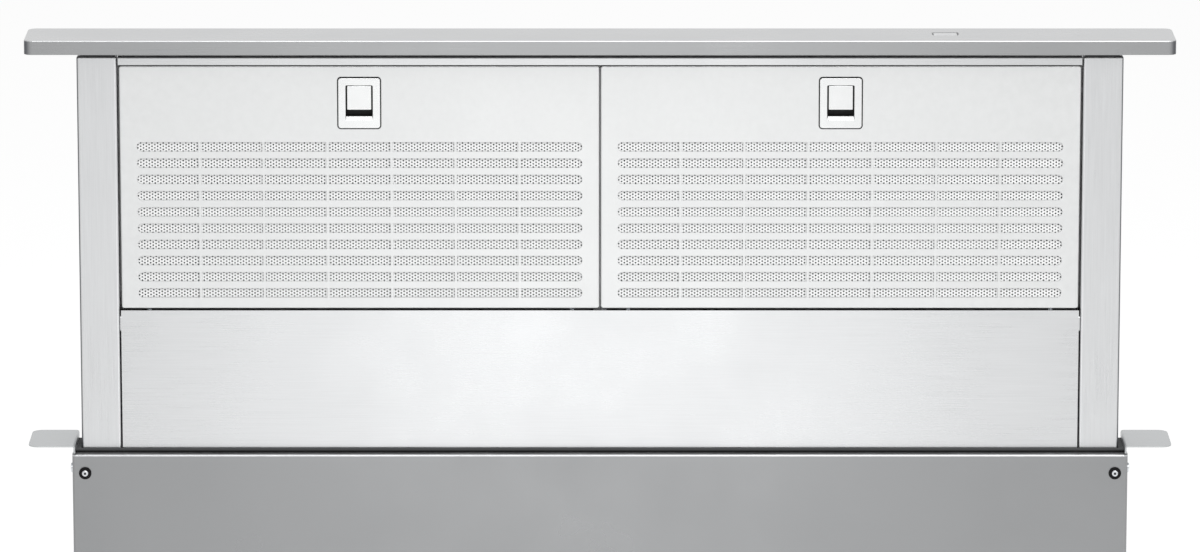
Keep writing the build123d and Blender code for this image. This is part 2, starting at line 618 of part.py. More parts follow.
def filter_frame():
    """Aluminium channel round the filter pad, open on its inner side."""
    height = MESH_TOP - FILTER_BOTTOM
    middle = (MESH_TOP + FILTER_BOTTOM) / 2
    width = 2 * FILTER_HALF
    ring = Rectangle(width, height) - Rectangle(width - 2 * FILTER_RIM, height - 2 * FILTER_RIM)
    gap = Rectangle(width - 2 * FILTER_FRAME_SHEET, height - 2 * FILTER_FRAME_SHEET)
    frame = along_y(Pos(0, middle) * ring, FILTER_FRONT, FILTER_BACK)
    return frame - along_y(Pos(0, middle) * gap, FILTER_FRONT + FILTER_FRAME_SHEET, FILTER_BACK - FILTER_FRAME_SHEET)


def filter_media():
    """Pad of aluminium mesh that fills the frame's channel."""
    inset = FILTER_FRAME_SHEET + HOLE_CLEAR
    return block(-FILTER_HALF + inset, FILTER_HALF - inset, FILTER_FRONT + inset,
                 FILTER_BACK - inset, FILTER_BOTTOM + inset, MESH_TOP - inset)


def pivot_rod():
    """Rod held in the panel's sides, turning in the hinge brackets."""
    half = PANEL_WIDTH / 2 - 0.2
    return rod_x(ROD_RADIUS, -half, half, HINGE_Y, HINGE_Z)


def latch_bezel():
    """Moulded surround with a pocket for the slider and a ramp below it."""
    flange = Pos(0, BEZEL_MIDDLE) * RectangleRounded(BEZEL_WIDTH, BEZEL_HEIGHT, BEZEL_CORNER)
    plate = along_y(flange, BEZEL_FRONT, PANEL_FRONT)
    plate = fillet(plate.faces().sort_by(Axis.Y)[0].edges(), radius=0.5)
    cup = Pos(0, BEZEL_MIDDLE) * Rectangle(BEZEL_WIDTH - 2 * BEZEL_RIM, BEZEL_HEIGHT - 2 * BEZEL_RIM)
    body = plate + along_y(cup, PANEL_FRONT, POCKET_FLOOR + POCKET_WALL)
    middle = (POCKET_TOP + POCKET_BOTTOM) / 2
    pocket = Pos(0, middle) * RectangleRounded(POCKET_WIDTH, POCKET_TOP - POCKET_BOTTOM, 1.0)
    body -= along_y(pocket, BEZEL_FRONT - 1, POCKET_FLOOR)
    ramp = make_face(
        Polyline(
            (BEZEL_FRONT + 0.3, POCKET_BOTTOM),
            (BEZEL_FRONT + 3.4, RAMP_TOP),
            (POCKET_FLOOR, RAMP_TOP),
            (POCKET_FLOOR, POCKET_BOTTOM),
            close=True,
        )
    )
    body += along_x(ramp, -POCKET_WIDTH / 2 + 0.4, POCKET_WIDTH / 2 - 0.4)
    body -= block(-BOLT_WIDTH / 2 - CLEAR, BOLT_WIDTH / 2 + CLEAR, BOLT_FRONT - CLEAR,
                  BOLT_BACK + CLEAR, POCKET_TOP - 1, PANEL_TOP)
    return body


def latch_slider():
    """Slider plate with a core that runs on the pocket's floor and a bolt that rises from it."""
    middle = (SLIDER_BOTTOM + SLIDER_TOP) / 2
    outline = Pos(0, middle) * RectangleRounded(SLIDER_WIDTH, SLIDER_TOP - SLIDER_BOTTOM, 0.8)
    plate = along_y(outline, SLIDER_FRONT, SLIDER_FRONT + SLIDER_PLATE)
    plate = fillet(plate.faces().sort_by(Axis.Y)[0].edges(), radius=0.5)
    core = block(-SLIDER_CORE / 2, SLIDER_CORE / 2, SLIDER_FRONT + SLIDER_PLATE, POCKET_FLOOR - CLEAR,
                 SLIDER_BOTTOM + 6.0, SLIDER_TOP - 1.5)
    bolt = block(-BOLT_WIDTH / 2, BOLT_WIDTH / 2, BOLT_FRONT, BOLT_BACK, SLIDER_TOP - 5.0, PANEL_TOP + BOLT_PROUD)
    nose = bolt.edges().filter_by(Axis.X).group_by(Axis.Z)[-1].sort_by(Axis.Y)[0]
    return plate + core + chamfer(nose, 1.0)


# ---------------------------------------------------------------- housing

def housing_front():
    """Folded front, ends and floor of the housing, with the lip, the fan inlet and screw holes."""
    half = HOUSING_HALF
    section = folded(
        [
            (-half + BACK_RETURN, BACK_INNER),
            (-half, BACK_INNER),
            (-half, HOUSING_FRONT),
            (half, HOUSING_FRONT),
            (half, BACK_INNER),
            (half - BACK_RETURN, BACK_INNER),
        ],
        SHEET,
        FOLD,
    )
    wrap = along_z(section, BASE, LIP)
    flat = END_INNER - SHEET - CLEAR
    wrap -= block(-flat, flat, HOUSING_FRONT - 1, HOUSING_FRONT + SHEET, LIP - LIP_FOLD, LIP + 1)
    lip = folded([(HOUSING_FRONT + LIP_WIDTH, LIP), (HOUSING_FRONT, LIP), (HOUSING_FRONT, LIP - LIP_FOLD)],
                 SHEET, TIGHT_FOLD)
    wrap += along_x(lip, -flat, flat)
    wrap += block(-END_INNER, END_INNER, HOUSING_FRONT + SHEET, BACK_INNER - SHEET, BASE, BASE + SHEET)
    front = (HOUSING_FRONT - 5, HOUSING_FRONT + 5)
    holes = [rod_y(FAN_THROAT + 24, *front, FAN_X, FAN_Z)]
    for side in (-1, 1):
        holes.append(rod_y(CORNER_SCREW_RADIUS + HOLE_CLEAR, *front, side * CORNER_SCREW_X, CORNER_SCREW_Z))
        holes.append(rod_z(FOOT_STUD_RADIUS + HOLE_CLEAR, BASE - 1, BASE + 5, side * FOOT_X, 0))
        for y in TAB_SCREW_Y:
            holes.append(rod_x(SCREW_SHANK + HOLE_CLEAR, side * half - 5, side * half + 5, y, TAB_SCREW_Z))
    return wrap - holes


def housing_back():
    """Back sheet screwed to the housing's returns, stiffened by three pressed beads."""
    half = HOUSING_HALF - 1.0
    sheet = block(-half, half, BACK_INNER, HOUSING_BACK, BASE, LIP)
    bead_length = 2 * half - 120
    for n in (1, 2, 3):
        middle = Pos(0, BASE + n * (BEARING_TOP - BASE) / 4)
        sheet += along_y(middle * SlotOverall(bead_length, BEAD_WIDTH), BACK_INNER - 2.0, BACK_INNER)
        sheet -= along_y(middle * SlotOverall(bead_length - 3, BEAD_WIDTH - 3), BACK_INNER - 0.8, HOUSING_BACK + 1)
    return sheet


def counter_tab():
    """Right tab: an angle whose leg is screwed inside the housing's end and whose plate lies on the worktop."""
    leg_in = END_INNER - SHEET
    top = WORKTOP + SHEET
    section = folded([(TAB_REACH, top), (leg_in, top), (leg_in, LIP - TAB_LEG)], SHEET, FOLD)
    tab = along_y(section, -CAP_DEPTH / 2, CAP_DEPTH / 2)
    for side in (-1, 1):
        tab -= block(0, END_INNER + 0.8, side * TAB_LEG_HALF, side * CAP_DEPTH, 0, LIP + 2.0)
    tab = fillet(tab.edges().filter_by(Axis.Z).group_by(Axis.X)[-1], radius=TAB_CORNER)
    for y in TAB_SCREW_Y:
        tab -= rod_x(SCREW_SHANK + HOLE_CLEAR, leg_in - 5, leg_in + 5, y, TAB_SCREW_Z)
    return tab


def mouth_seal():
    """Four rubber strips round the mouth: the front one grips the lip's edge."""
    top = WORKTOP - SEAL_TOP
    bottom = LIP - SEAL_DEPTH
    back = RISER_FRONT - SEAL_CLEAR
    front = back - SEAL_THICK
    edge = HOUSING_FRONT + LIP_WIDTH
    end_out = END_INNER - SHEET
    end_in = RISER_HALF + SEAL_CLEAR
    section = Pos((front + back) / 2, (top + bottom) / 2) * Rectangle(SEAL_THICK, top - bottom)
    section -= Pos((front + edge) / 2, LIP - SHEET / 2) * Rectangle(edge - front, SHEET)
    strip = along_x(section, -end_out, end_out)
    crown = strip.edges().filter_by(Axis.X).group_by(Axis.Z)[-1].sort_by(Axis.Y)[0]
    strip = fillet(crown, radius=1.2)
    rear = RISER_BACK + SEAL_CLEAR
    end = block(end_in, end_out, back, rear, bottom, top)
    rear_half = HOUSING_HALF - BACK_RETURN - 0.2
    rear_strip = block(-rear_half, rear_half, rear, BACK_INNER, bottom, top)
    return group([strip, mirrored(end), end, rear_strip])


def guide_rails():
    """Channels on the housing's end walls that the pads run in."""
    half = PAD_WIDTH / 2 + PAD_GAP + RAIL_WALL
    mouth = RISER_HALF + 0.8
    y0 = RISER_MIDDLE - half
    y1 = RISER_MIDDLE + half
    section = folded([(mouth, y1), (END_INNER, y1), (END_INNER, y0), (mouth, y0)][::-1], RAIL_WALL, 1.4)
    rail = along_z(section, LOWEST_RISER - 8.0, LIP - TAB_LEG - 1.0)
    return group([mirrored(rail), rail])


def foot_places():
    """Four feet in X and Y: two under the housing, two under the blower box."""
    x = BLOWER_SIDE - BLOWER_FOOT_IN
    y = BLOWER_FRONT + BLOWER_FOOT_IN
    return [(-FOOT_X, 0), (FOOT_X, 0), (-x, y), (x, y)]


def levelling_feet():
    """Threaded feet, each with a round pad and a lock nut under the floor that it screws into."""
    feet = []
    nut_height = 7.0
    for x, y in foot_places():
        pad = rod_z(FOOT_PAD_RADIUS, 0, FOOT_PAD_HEIGHT, x, y)
        pad = chamfer(pad.edges().group_by(Axis.Z)[-1], 2.0)
        stud = rod_z(FOOT_STUD_RADIUS, FOOT_PAD_HEIGHT, BASE + 14.0, x, y)
        nut = Pos(x, y, BASE - nut_height) * extrude(RegularPolygon(9.0, 6), amount=nut_height)
        feet.append(pad + stud + nut)
    return group(feet)


def corner_washers():
    """Dark washers under the heads of the corner screws."""
    ring = Circle(WASHER_RADIUS) - Circle(CORNER_SCREW_RADIUS + 0.7)
    washer = along_y(Pos(CORNER_SCREW_X, CORNER_SCREW_Z) * ring, HOUSING_FRONT - 0.8, HOUSING_FRONT)
    return group([mirrored(washer), washer])


def corner_screws():
    """Domed screws through the housing's upper corners, each with a nut inside."""
    x = CORNER_SCREW_X
    z = CORNER_SCREW_Z
    seat = HOUSING_FRONT
    head = rod_y(CORNER_SCREW_RADIUS + 0.6, seat - 2.2, seat, x, z)
    head = fillet(head.edges().group_by(Axis.Y)[0], radius=1.0)
    screw = head + rod_y(CORNER_SCREW_RADIUS, seat, seat + 7.0, x, z)
    hexagon = Pos(x, z) * (RegularPolygon(2.1 * CORNER_SCREW_RADIUS, 6) - Circle(CORNER_SCREW_RADIUS))
    nut = along_y(hexagon, seat + SHEET, seat + SHEET + 3.0)
    return group([mirrored(screw), screw, mirrored(nut), nut])


# ---------------------------------------------------------------- lift

def lead_screw():
    """Right lead screw, drawn as a plain rod, with a turned journal for the bearing and pulley."""
    y = RISER_MIDDLE
    screw = rod_z(SCREW_RADIUS, BEARING_TOP + 0.5, SCREW_TOP, SCREW_X, y)
    screw = chamfer(screw.edges().group_by(Axis.Z)[-1], 1.0)
    return screw + rod_z(JOURNAL_RADIUS, JOURNAL_BOTTOM, BEARING_TOP + 0.5, SCREW_X, y)


def screw_pulley():
    """Right toothed pulley with a flange above and below the belt."""
    tooth = Pos(PULLEY_RADIUS, 0) * Rectangle(2.0, 2.0)
    notches = [Rot(0, 0, n * 360 / PULLEY_TEETH) * tooth for n in range(PULLEY_TEETH)]
    pulley = along_z(Circle(PULLEY_RADIUS) - notches, PULLEY_BOTTOM, PULLEY_TOP)
    rim = Circle(PULLEY_RADIUS + BELT_THICK)
    pulley += along_z(rim, PULLEY_BOTTOM, PULLEY_BOTTOM + PULLEY_FLANGE)
    pulley += along_z(rim, PULLEY_TOP - PULLEY_FLANGE, PULLEY_TOP)
    pulley -= along_z(Circle(JOURNAL_RADIUS), PULLEY_BOTTOM - 1, PULLEY_TOP + 1)
    return Pos(SCREW_X, RISER_MIDDLE, 0) * pulley


def drive_belt():
    """Belt that runs round both pulleys, across the housing."""
    inner_radius = PULLEY_RADIUS + CLEAR
    inner = SlotCenterToCenter(2 * SCREW_X, 2 * inner_radius)
    outer = SlotCenterToCenter(2 * SCREW_X, 2 * (inner_radius + BELT_THICK))
    z0 = (PULLEY_TOP + PULLEY_BOTTOM - BELT_WIDTH) / 2
    return Pos(0, RISER_MIDDLE, 0) * along_z(outer - inner, z0, z0 + BELT_WIDTH)


def motor_coupler():
    """Sleeve between the gear motor's shaft and the right lead screw, with a clamping slit."""
    y = RISER_MIDDLE
    sleeve = rod_z(COUPLER_RADIUS, COUPLER_BOTTOM, PULLEY_BOTTOM, SCREW_X, y)
    sleeve -= rod_z(JOURNAL_RADIUS, COUPLER_BOTTOM - 1, PULLEY_BOTTOM + 1, SCREW_X, y)
    return sleeve - block(SCREW_X, SCREW_X + 20, y - 0.6, y + 0.6, COUPLER_BOTTOM - 1, COUPLER_BOTTOM + 8)


def screw_bearings():
    """Two folded brackets on the end walls, each with a flanged bearing for a screw's journal."""
    y = RISER_MIDDLE
    top = BEARING_TOP - 2.0
    half = LIFT_MOTOR_RADIUS - 3.0
    reach = SCREW_X - BEARING_RADIUS - 6.0
    corners = [(END_INNER, BEARING_TOP - 30.0), (END_INNER, top), (reach, top)]
    arm = along_y(folded(corners, BRACKET_SHEET, BRACKET_FOLD), y - half, y + half)
    boss = rod_z(BEARING_RADIUS, BEARING_TOP - BEARING_THICK, BEARING_TOP, SCREW_X, y)
    bracket = arm + boss - rod_z(JOURNAL_RADIUS + RUNNING_FIT, BEARING_TOP - 20, LIP, SCREW_X, y)
    return group([mirrored(bracket), bracket])


def lift_motor():
    """Gear motor: gearbox above, can below, with its shaft up into the coupler."""
    y = RISER_MIDDLE
    bottom = LIFT_MOTOR_TOP - LIFT_MOTOR_LENGTH
    can_top = LIFT_MOTOR_TOP - GEARBOX_LENGTH
    can = rod_z(LIFT_MOTOR_RADIUS - 1.5, bottom, can_top, SCREW_X, y)
    can = fillet(can.edges().group_by(Axis.Z)[0], radius=2.0)
    gearbox = rod_z(LIFT_MOTOR_RADIUS, can_top, LIFT_MOTOR_TOP, SCREW_X, y)
    boss = rod_z(7.0, bottom - 3.0, bottom, SCREW_X, y)
    shaft = rod_z(JOURNAL_RADIUS - RUNNING_FIT, LIFT_MOTOR_TOP, JOURNAL_BOTTOM - 1.0, SCREW_X, y)
    return can + gearbox + boss + shaft


def lift_motor_bracket():
    """Angle on the right end wall that the gearbox hangs from."""
    y = RISER_MIDDLE
    half = LIFT_MOTOR_RADIUS - 1.0
    top = LIFT_MOTOR_TOP + BRACKET_SHEET
    corners = [(END_INNER, top - 52.0), (END_INNER, top), (SCREW_X - half, top)]
    bracket = along_y(folded(corners, BRACKET_SHEET, BRACKET_FOLD), y - half, y + half)
    bracket -= rod_z(LIFT_MOTOR_RADIUS + CLEAR, top - 60.0, LIFT_MOTOR_TOP, SCREW_X, y)
    return bracket - rod_z(COUPLER_RADIUS + 1.0, LIFT_MOTOR_TOP - 5, top + 5, SCREW_X, y)


# ---------------------------------------------------------------- blower

def case_ring(width):
    """Outline of the blower box in X and Z, as a ring of the given width."""
    outer = RectangleRounded(BLOWER_WIDTH, BLOWER_HEIGHT, FOLD)
    inner = RectangleRounded(BLOWER_WIDTH - 2 * width, BLOWER_HEIGHT - 2 * width, max(FOLD - width, 0.5))
    return Pos(0, BLOWER_MIDDLE) * (outer - inner)


def blower_case():
    """Box on the housing's front, open to the fan inlet behind, with edges turned in for its cover."""
    rim = case_ring(COVER_EDGE)
    case = along_y(case_ring(SHEET), BLOWER_FRONT, BLOWER_BACK)
    case += along_y(rim, BLOWER_FRONT, BLOWER_FRONT + SHEET)
    case += along_y(rim, BLOWER_BACK - SHEET, BLOWER_BACK)
    holes = [rod_x(DUCT_BORE, BLOWER_SIDE - 5, BLOWER_SIDE + 5, DUCT_Y, DUCT_Z)]
    for x, y in foot_places()[2:]:
        holes.append(rod_z(FOOT_STUD_RADIUS + HOLE_CLEAR, BASE - 1, BASE + 5, x, y))
    for x, z in cover_screw_places():
        holes.append(rod_y(SCREW_SHANK + HOLE_CLEAR, BLOWER_FRONT - 5, BLOWER_FRONT + 5, x, z))
    return case - holes


def cover_screw_places():
    """Eight places round the blower cover's edge, in X and Z."""
    inset = COVER_EDGE / 2 + 1.0
    x = BLOWER_SIDE - inset
    low = BASE + inset
    high = BLOWER_TOP - inset
    sides = [(-x, BLOWER_MIDDLE), (x, BLOWER_MIDDLE)]
    return sides + [(place, height) for height in (low, high) for place in (-x, 0, x)]


def blower_cover():
    """Removable front sheet with a raised field that stiffens it."""
    def outline(inset, radius):
        return Pos(0, BLOWER_MIDDLE) * RectangleRounded(BLOWER_WIDTH - 2 * inset, BLOWER_HEIGHT - 2 * inset, radius)

    field_in = COVER_EDGE + 11.0
    plate = along_y(outline(2.0, 4.0), COVER_FRONT, BLOWER_FRONT)
    field = along_y(outline(field_in, 18.0), COVER_FRONT - COVER_RAISE, COVER_FRONT)
    field = chamfer(field.faces().sort_by(Axis.Y)[0].edges(), COVER_RAISE - 0.5)
    dish = along_y(outline(field_in + COVER_RAISE + 1.0, 13.0), COVER_FRONT - COVER_RAISE + SHEET, BLOWER_FRONT + 1)
    holes = [rod_y(SCREW_SHANK + HOLE_CLEAR, COVER_FRONT - 5, BLOWER_FRONT + 5, x, z)
             for x, z in cover_screw_places()]
    return plate + field - dish - holes


def scroll_outline(inset):
    """Outline of the scroll in X and Z: three quarter arcs that grow by one step each, then the outlet."""
    step = SCROLL_STEP
    radius = SCROLL_START + step / 2 - inset
    start = (FAN_X + SCROLL_START - inset, FAN_Z + step / 2)
    rise = JernArc(start, (0, 1), radius, 90)
    over = JernArc(rise @ 1, rise % 1, radius + step, 90)
    down = JernArc(over @ 1, over % 1, radius + 2 * step, 90)
    outlet = BLOWER_SIDE - SHEET
    foot = down @ 1
    tongue = (start[0], start[1] - inset) if inset else start
    corners = [(foot.X, foot.Y), (outlet, foot.Y), (outlet, tongue[1]), tongue]
    if inset:
        corners.append(start)
    return make_face([*rise.edges(), *over.edges(), *down.edges(), *Polyline(*corners).edges()])


def blower_scroll():
    """Spiral band round the fan between two side sheets, open at the outlet and at the inlet."""
    scroll = along_y(scroll_outline(0.0), SCROLL_FRONT, SCROLL_BACK)
    scroll -= along_y(scroll_outline(SHEET), SCROLL_FRONT + SHEET, SCROLL_BACK - SHEET)
    end = BLOWER_SIDE - SHEET
    scroll -= block(end - SHEET, end + 1, SCROLL_FRONT + SHEET, SCROLL_BACK - SHEET,
                    FAN_Z - SCROLL_END + SHEET, FAN_Z + SCROLL_STEP / 2 - SHEET)
    scroll -= rod_y(FAN_THROAT + 26, SCROLL_BACK - 5, SCROLL_BACK + 5, FAN_X, FAN_Z)
    return scroll - rod_y(24.0, SCROLL_FRONT - 5, SCROLL_FRONT + 5, FAN_X, FAN_Z)


def inlet_ring():
    """Bell-mouthed ring that leads the air from the housing into the fan."""
    lip_radius = FAN_THROAT + 34
    mouth = FAN_THROAT + 18
    wall = SHEET
    depth = FAN_BACK + 3.0
    bend = 24.0
    section = make_face([
        *RadiusArc((mouth, BLOWER_BACK), (FAN_THROAT, depth), bend).edges(),
        *Line((FAN_THROAT, depth), (FAN_THROAT + wall, depth)).edges(),
        *RadiusArc((mouth + 0.4, SCROLL_BACK), (FAN_THROAT + wall, depth), bend).edges(),
        *Polyline((mouth + 0.4, SCROLL_BACK), (lip_radius, SCROLL_BACK), (lip_radius, BLOWER_BACK),
                  (mouth, BLOWER_BACK)).edges(),
    ])
    return Pos(FAN_X, 0, FAN_Z) * revolve(section, axis=Axis.Y)


def impeller_wheel():
    """Forward-curved fan wheel: hub, back disc, a ring of curved blades and an end ring."""
    disc = 1.6
    ring_width = 7.0
    thick = 1.3
    root = (FAN_INNER, 0)
    root_top = (FAN_INNER, thick)
    tip = (FAN_RADIUS - 1.0, 5.5)
    tip_top = (tip[0] - thick, tip[1] + thick * 0.6)
    blade = make_face([
        *RadiusArc(root, tip, -11.0).edges(),
        *Line(tip, tip_top).edges(),
        *RadiusArc(root_top, tip_top, -10.0).edges(),
        *Line(root, root_top).edges(),
    ])
    blade = along_y(blade, FAN_FRONT + disc, FAN_BACK - disc)
    cage = [Rot(0, n * 360 / FAN_BLADES, 0) * blade for n in range(FAN_BLADES)]
    wheel = along_y(Circle(FAN_RADIUS), FAN_FRONT, FAN_FRONT + disc)
    wheel += along_y(Circle(FAN_RADIUS) - Circle(FAN_RADIUS - ring_width), FAN_BACK - disc, FAN_BACK)
    wheel += along_y(Circle(15.0), FAN_FRONT, FAN_FRONT + 30.0)
    wheel += cage
    wheel -= along_y(Circle(SHAFT_RADIUS), FAN_FRONT - 1, FAN_BACK + 1)
    return Pos(FAN_X, 0, FAN_Z) * wheel


def fan_shaft():
    return rod_y(SHAFT_RADIUS, SCROLL_FRONT - 12.0, FAN_FRONT + 34.0, FAN_X, FAN_Z)


def fan_motor():
    """Fan motor with a mounting flange, a boss that carries the shaft and a domed end."""
    flange_front = SCROLL_FRONT - FAN_MOTOR_FLANGE
    boss_back = SCROLL_FRONT + 6.0
    flange_width = 2 * FAN_MOTOR_RADIUS + 16.0
    motor = along_y(Circle(FAN_MOTOR_RADIUS), flange_front - FAN_MOTOR_LENGTH, flange_front)
    motor = fillet(motor.edges().group_by(Axis.Y)[0], radius=6.0)
    motor += along_y(RectangleRounded(flange_width, flange_width, 14.0), flange_front, SCROLL_FRONT)
    motor += along_y(Circle(20.0), SCROLL_FRONT, boss_back)
    motor -= along_y(Circle(SHAFT_RADIUS + RUNNING_FIT), SCROLL_FRONT - 13.0, boss_back + 1)
    return Pos(FAN_X, 0, FAN_Z) * motor


def duct_collar():
    """Round collar with a flange on the case's side and holes for the flaps' rod."""
    width = 2 * (DUCT_RADIUS + DUCT_FLANGE)
    collar = along_x(Circle(DUCT_RADIUS) - Circle(DUCT_BORE), BLOWER_SIDE, BLOWER_SIDE + DUCT_LENGTH)
    collar += along_x(RectangleRounded(width, width, 6.0) - Circle(DUCT_BORE), BLOWER_SIDE, BLOWER_SIDE + SHEET)
    collar = Pos(0, DUCT_Y, DUCT_Z) * collar
    return collar - rod_z(FLAP_ROD, DUCT_Z - 2 * DUCT_RADIUS, DUCT_Z + 2 * DUCT_RADIUS, FLAP_X, DUCT_Y)


def damper_rod():
    """Upright rod across the collar that both flaps swing on."""
    reach = DUCT_RADIUS - CLEAR
    return rod_z(FLAP_ROD, DUCT_Z - reach, DUCT_Z + reach, FLAP_X, DUCT_Y)


def damper_flap(side):
    """Half-round flap with knuckles on the rod: the front flap's at its ends, the rear flap's in the middle."""
    radius = DUCT_BORE - FLAP_GAP
    beyond = radius + 5.0
    half_disc = Circle(radius) - Pos(-side * radius, 0) * Rectangle(2 * radius + 2 * CLEAR, 4 * radius)
    flap = along_x(half_disc, -FLAP_THICK / 2, FLAP_THICK / 2)
    reach = FLAP_KNUCKLE + CLEAR
    rod_reach = FLAP_ROD + CLEAR
    if side < 0:
        knuckles = [(-KNUCKLE_END, -KNUCKLE_HALF - CLEAR), (KNUCKLE_HALF + CLEAR, KNUCKLE_END)]
        flap -= block(-5, 5, -reach, reach, -KNUCKLE_HALF - CLEAR, KNUCKLE_HALF + CLEAR)
    else:
        knuckles = [(-KNUCKLE_HALF, KNUCKLE_HALF)]
        for end in (-1, 1):
            flap -= block(-5, 5, -reach, reach, end * KNUCKLE_HALF, end * beyond)
    for low, high in knuckles:
        flap += rod_z(FLAP_KNUCKLE, low, high, 0, 0)
    flap -= rod_z(FLAP_ROD + RUNNING_FIT, -beyond, beyond, 0, 0)
    if side < 0:
        for end in (-1, 1):
            flap -= block(-5, 5, -rod_reach, rod_reach, end * KNUCKLE_END, end * beyond)
    return Pos(FLAP_X, DUCT_Y, DUCT_Z) * flap


# ---------------------------------------------------------------- control box and screws

def control_box():
    """Open-fronted box on the housing's front with a hole for the cable gland in its floor."""
    x0 = CONTROL_X - CONTROL_WIDTH / 2
    x1 = CONTROL_X + CONTROL_WIDTH / 2
    top = CONTROL_Z + CONTROL_HEIGHT
    box = block(x0, x1, CONTROL_FRONT, HOUSING_FRONT, CONTROL_Z, top)
    box = fillet(box.edges().filter_by(Axis.Y), radius=3.0)
    box -= block(x0 + SHEET, x1 - SHEET, CONTROL_FRONT - 1, HOUSING_FRONT - SHEET, CONTROL_Z + SHEET, top - SHEET)
    return box - rod_z(GLAND_BORE + 3.0 + HOLE_CLEAR, CONTROL_Z - 5, CONTROL_Z + 5, CONTROL_X, GLAND_Y)


def control_box_cover():
    """Lid with its edge turned back over the box."""
    grow = SHEET + HOLE_CLEAR
    x0 = CONTROL_X - CONTROL_WIDTH / 2 - grow
    x1 = CONTROL_X + CONTROL_WIDTH / 2 + grow
    z0 = CONTROL_Z - grow
    z1 = CONTROL_Z + CONTROL_HEIGHT + grow
    front = CONTROL_FRONT - SHEET
    lid = block(x0, x1, front, front + CONTROL_LID, z0, z1)
    lid = fillet(lid.edges().filter_by(Axis.Y), radius=4.0)
    lid = fillet(lid.faces().sort_by(Axis.Y)[0].edges(), radius=1.0)
    inside = block(x0 + SHEET, x1 - SHEET, CONTROL_FRONT, front + CONTROL_LID + 1, z0 + SHEET, z1 - SHEET)
    return lid - fillet(inside.edges().filter_by(Axis.Y), radius=2.8)


def cable_gland():
    """Gland in the control box's floor: a threaded sleeve, a nut inside, a hexagon and a domed nut."""
    x = CONTROL_X
    y = GLAND_Y
    hexagon = RegularPolygon(GLAND_HEX, 6)
    hex_height = 6.5
    dome_top = CONTROL_Z - hex_height
    gland = rod_z(GLAND_BORE + 3.0, CONTROL_Z - 2, CONTROL_Z + 9.0, x, y)
    gland += Pos(x, y, CONTROL_Z + SHEET) * extrude(hexagon, amount=4.0)
    gland += Pos(x, y, dome_top) * extrude(hexagon, amount=hex_height)
    dome = rod_z(GLAND_BORE + 4.5, dome_top - GLAND_DOME, dome_top, x, y)
    gland += fillet(dome.edges().group_by(Axis.Z)[0], radius=3.0)
    return gland - rod_z(GLAND_BORE, CONTROL_Z - 30, CONTROL_Z + 30, x, y)


def case_screws():
    """Round-headed screws of one size: through the housing's ends into the tabs, and round the blower cover."""
    screws = []
    for y in TAB_SCREW_Y:
        screw = rod_x(SCREW_HEAD, HOUSING_HALF, HOUSING_HALF + HEAD_HEIGHT, y, TAB_SCREW_Z)
        screw = chamfer(screw.edges().group_by(Axis.X)[-1], 0.6)
        screw += rod_x(SCREW_SHANK, END_INNER - SHEET - 1.8, HOUSING_HALF, y, TAB_SCREW_Z)
        screws += [mirrored(screw), screw]
    for x, z in cover_screw_places():
        screw = rod_y(SCREW_HEAD, COVER_FRONT - HEAD_HEIGHT, COVER_FRONT, x, z)
        screw = chamfer(screw.edges().group_by(Axis.Y)[0], 0.6)
        screws.append(screw + rod_y(SCREW_SHANK, COVER_FRONT, COVER_FRONT + 7.0, x, z))
    return group(screws)


# ---------------------------------------------------------------- assembly and export

def build_nodes():
    """Every node's shape, in the frame whose Y is zero in the middle of the housing."""
    nodes = {
        "housing_front": housing_front(),
        "housing_back": housing_back(),
        "mouth_seal": mouth_seal(),
        "levelling_feet": levelling_feet(),
        "corner_washers": corner_washers(),
        "corner_screws": corner_screws(),
        "case_screws": case_screws(),
        "blower_case": blower_case(),
        "blower_cover": blower_cover(),
        "blower_scroll": blower_scroll(),
        "inlet_ring": inlet_ring(),
        "fan_motor": fan_motor(),
        "impeller_wheel": impeller_wheel(),
        "fan_shaft": fan_shaft(),
        "duct_collar": duct_collar(),
        "damper_rod": damper_rod(),
        "damper_flap_front": damper_flap(-1),
        "damper_flap_rear": damper_flap(1),
        "control_box": control_box(),
        "control_box_cover": control_box_cover(),
        "cable_gland": cable_gland(),
        "guide_rails": guide_rails(),
        "lift_motor": lift_motor(),
        "lift_motor_bracket": lift_motor_bracket(),
        "motor_coupler": motor_coupler(),
        "screw_bearings": screw_bearings(),
        "drive_belt": drive_belt(),
        "cap_shell": cap_shell(),
        "cap_frame": cap_frame(),
        "switch_bezel": switch_bezel(),
        "switch_button": switch_button(),
        "top_rail": top_rail(),
        "lower_front_panel": lower_front_panel(),
        "riser_back": riser_back(),
        "centre_mullion": centre_mullion(),
        "hinge_brackets": hinge_brackets(),
        "slide_pads": slide_pads(),
        "lift_nuts": lift_nuts(),
    }
    paired = {
        "counter_tab": counter_tab(),
        "column": column(),
        "lead_screw": lead_screw(),
        "screw_pulley": screw_pulley(),
    }
    for name, shape in paired.items():
        nodes["right_" + name] = shape
        nodes["left_" + name] = mirrored(shape)
    panel = {
        "panel_face": panel_face(),
        "filter_sheet": filter_sheet(),
        "filter_frame": filter_frame(),
        "filter_media": filter_media(),
        "pivot_rod": pivot_rod(),
        "latch_bezel": latch_bezel(),
        "latch_slider": latch_slider(),
    }
    for name, shape in panel.items():
        nodes["left_" + name] = Pos(-PANEL_X, 0, 0) * shape
        nodes["right_" + name] = Pos(PANEL_X, 0, 0) * shape
    return nodes


def frame_shift(nodes):
    """Moves the origin under the middle of the whole object's box, at the height that it stands on."""
    boxes = [shape.bounding_box() for shape in nodes.values()]
    x = (min(b.min.X for b in boxes) + max(b.max.X for b in boxes)) / 2
    y = (min(b.min.Y for b in boxes) + max(b.max.Y for b in boxes)) / 2
    return Pos(-x, -y, 0), (-x, -y)


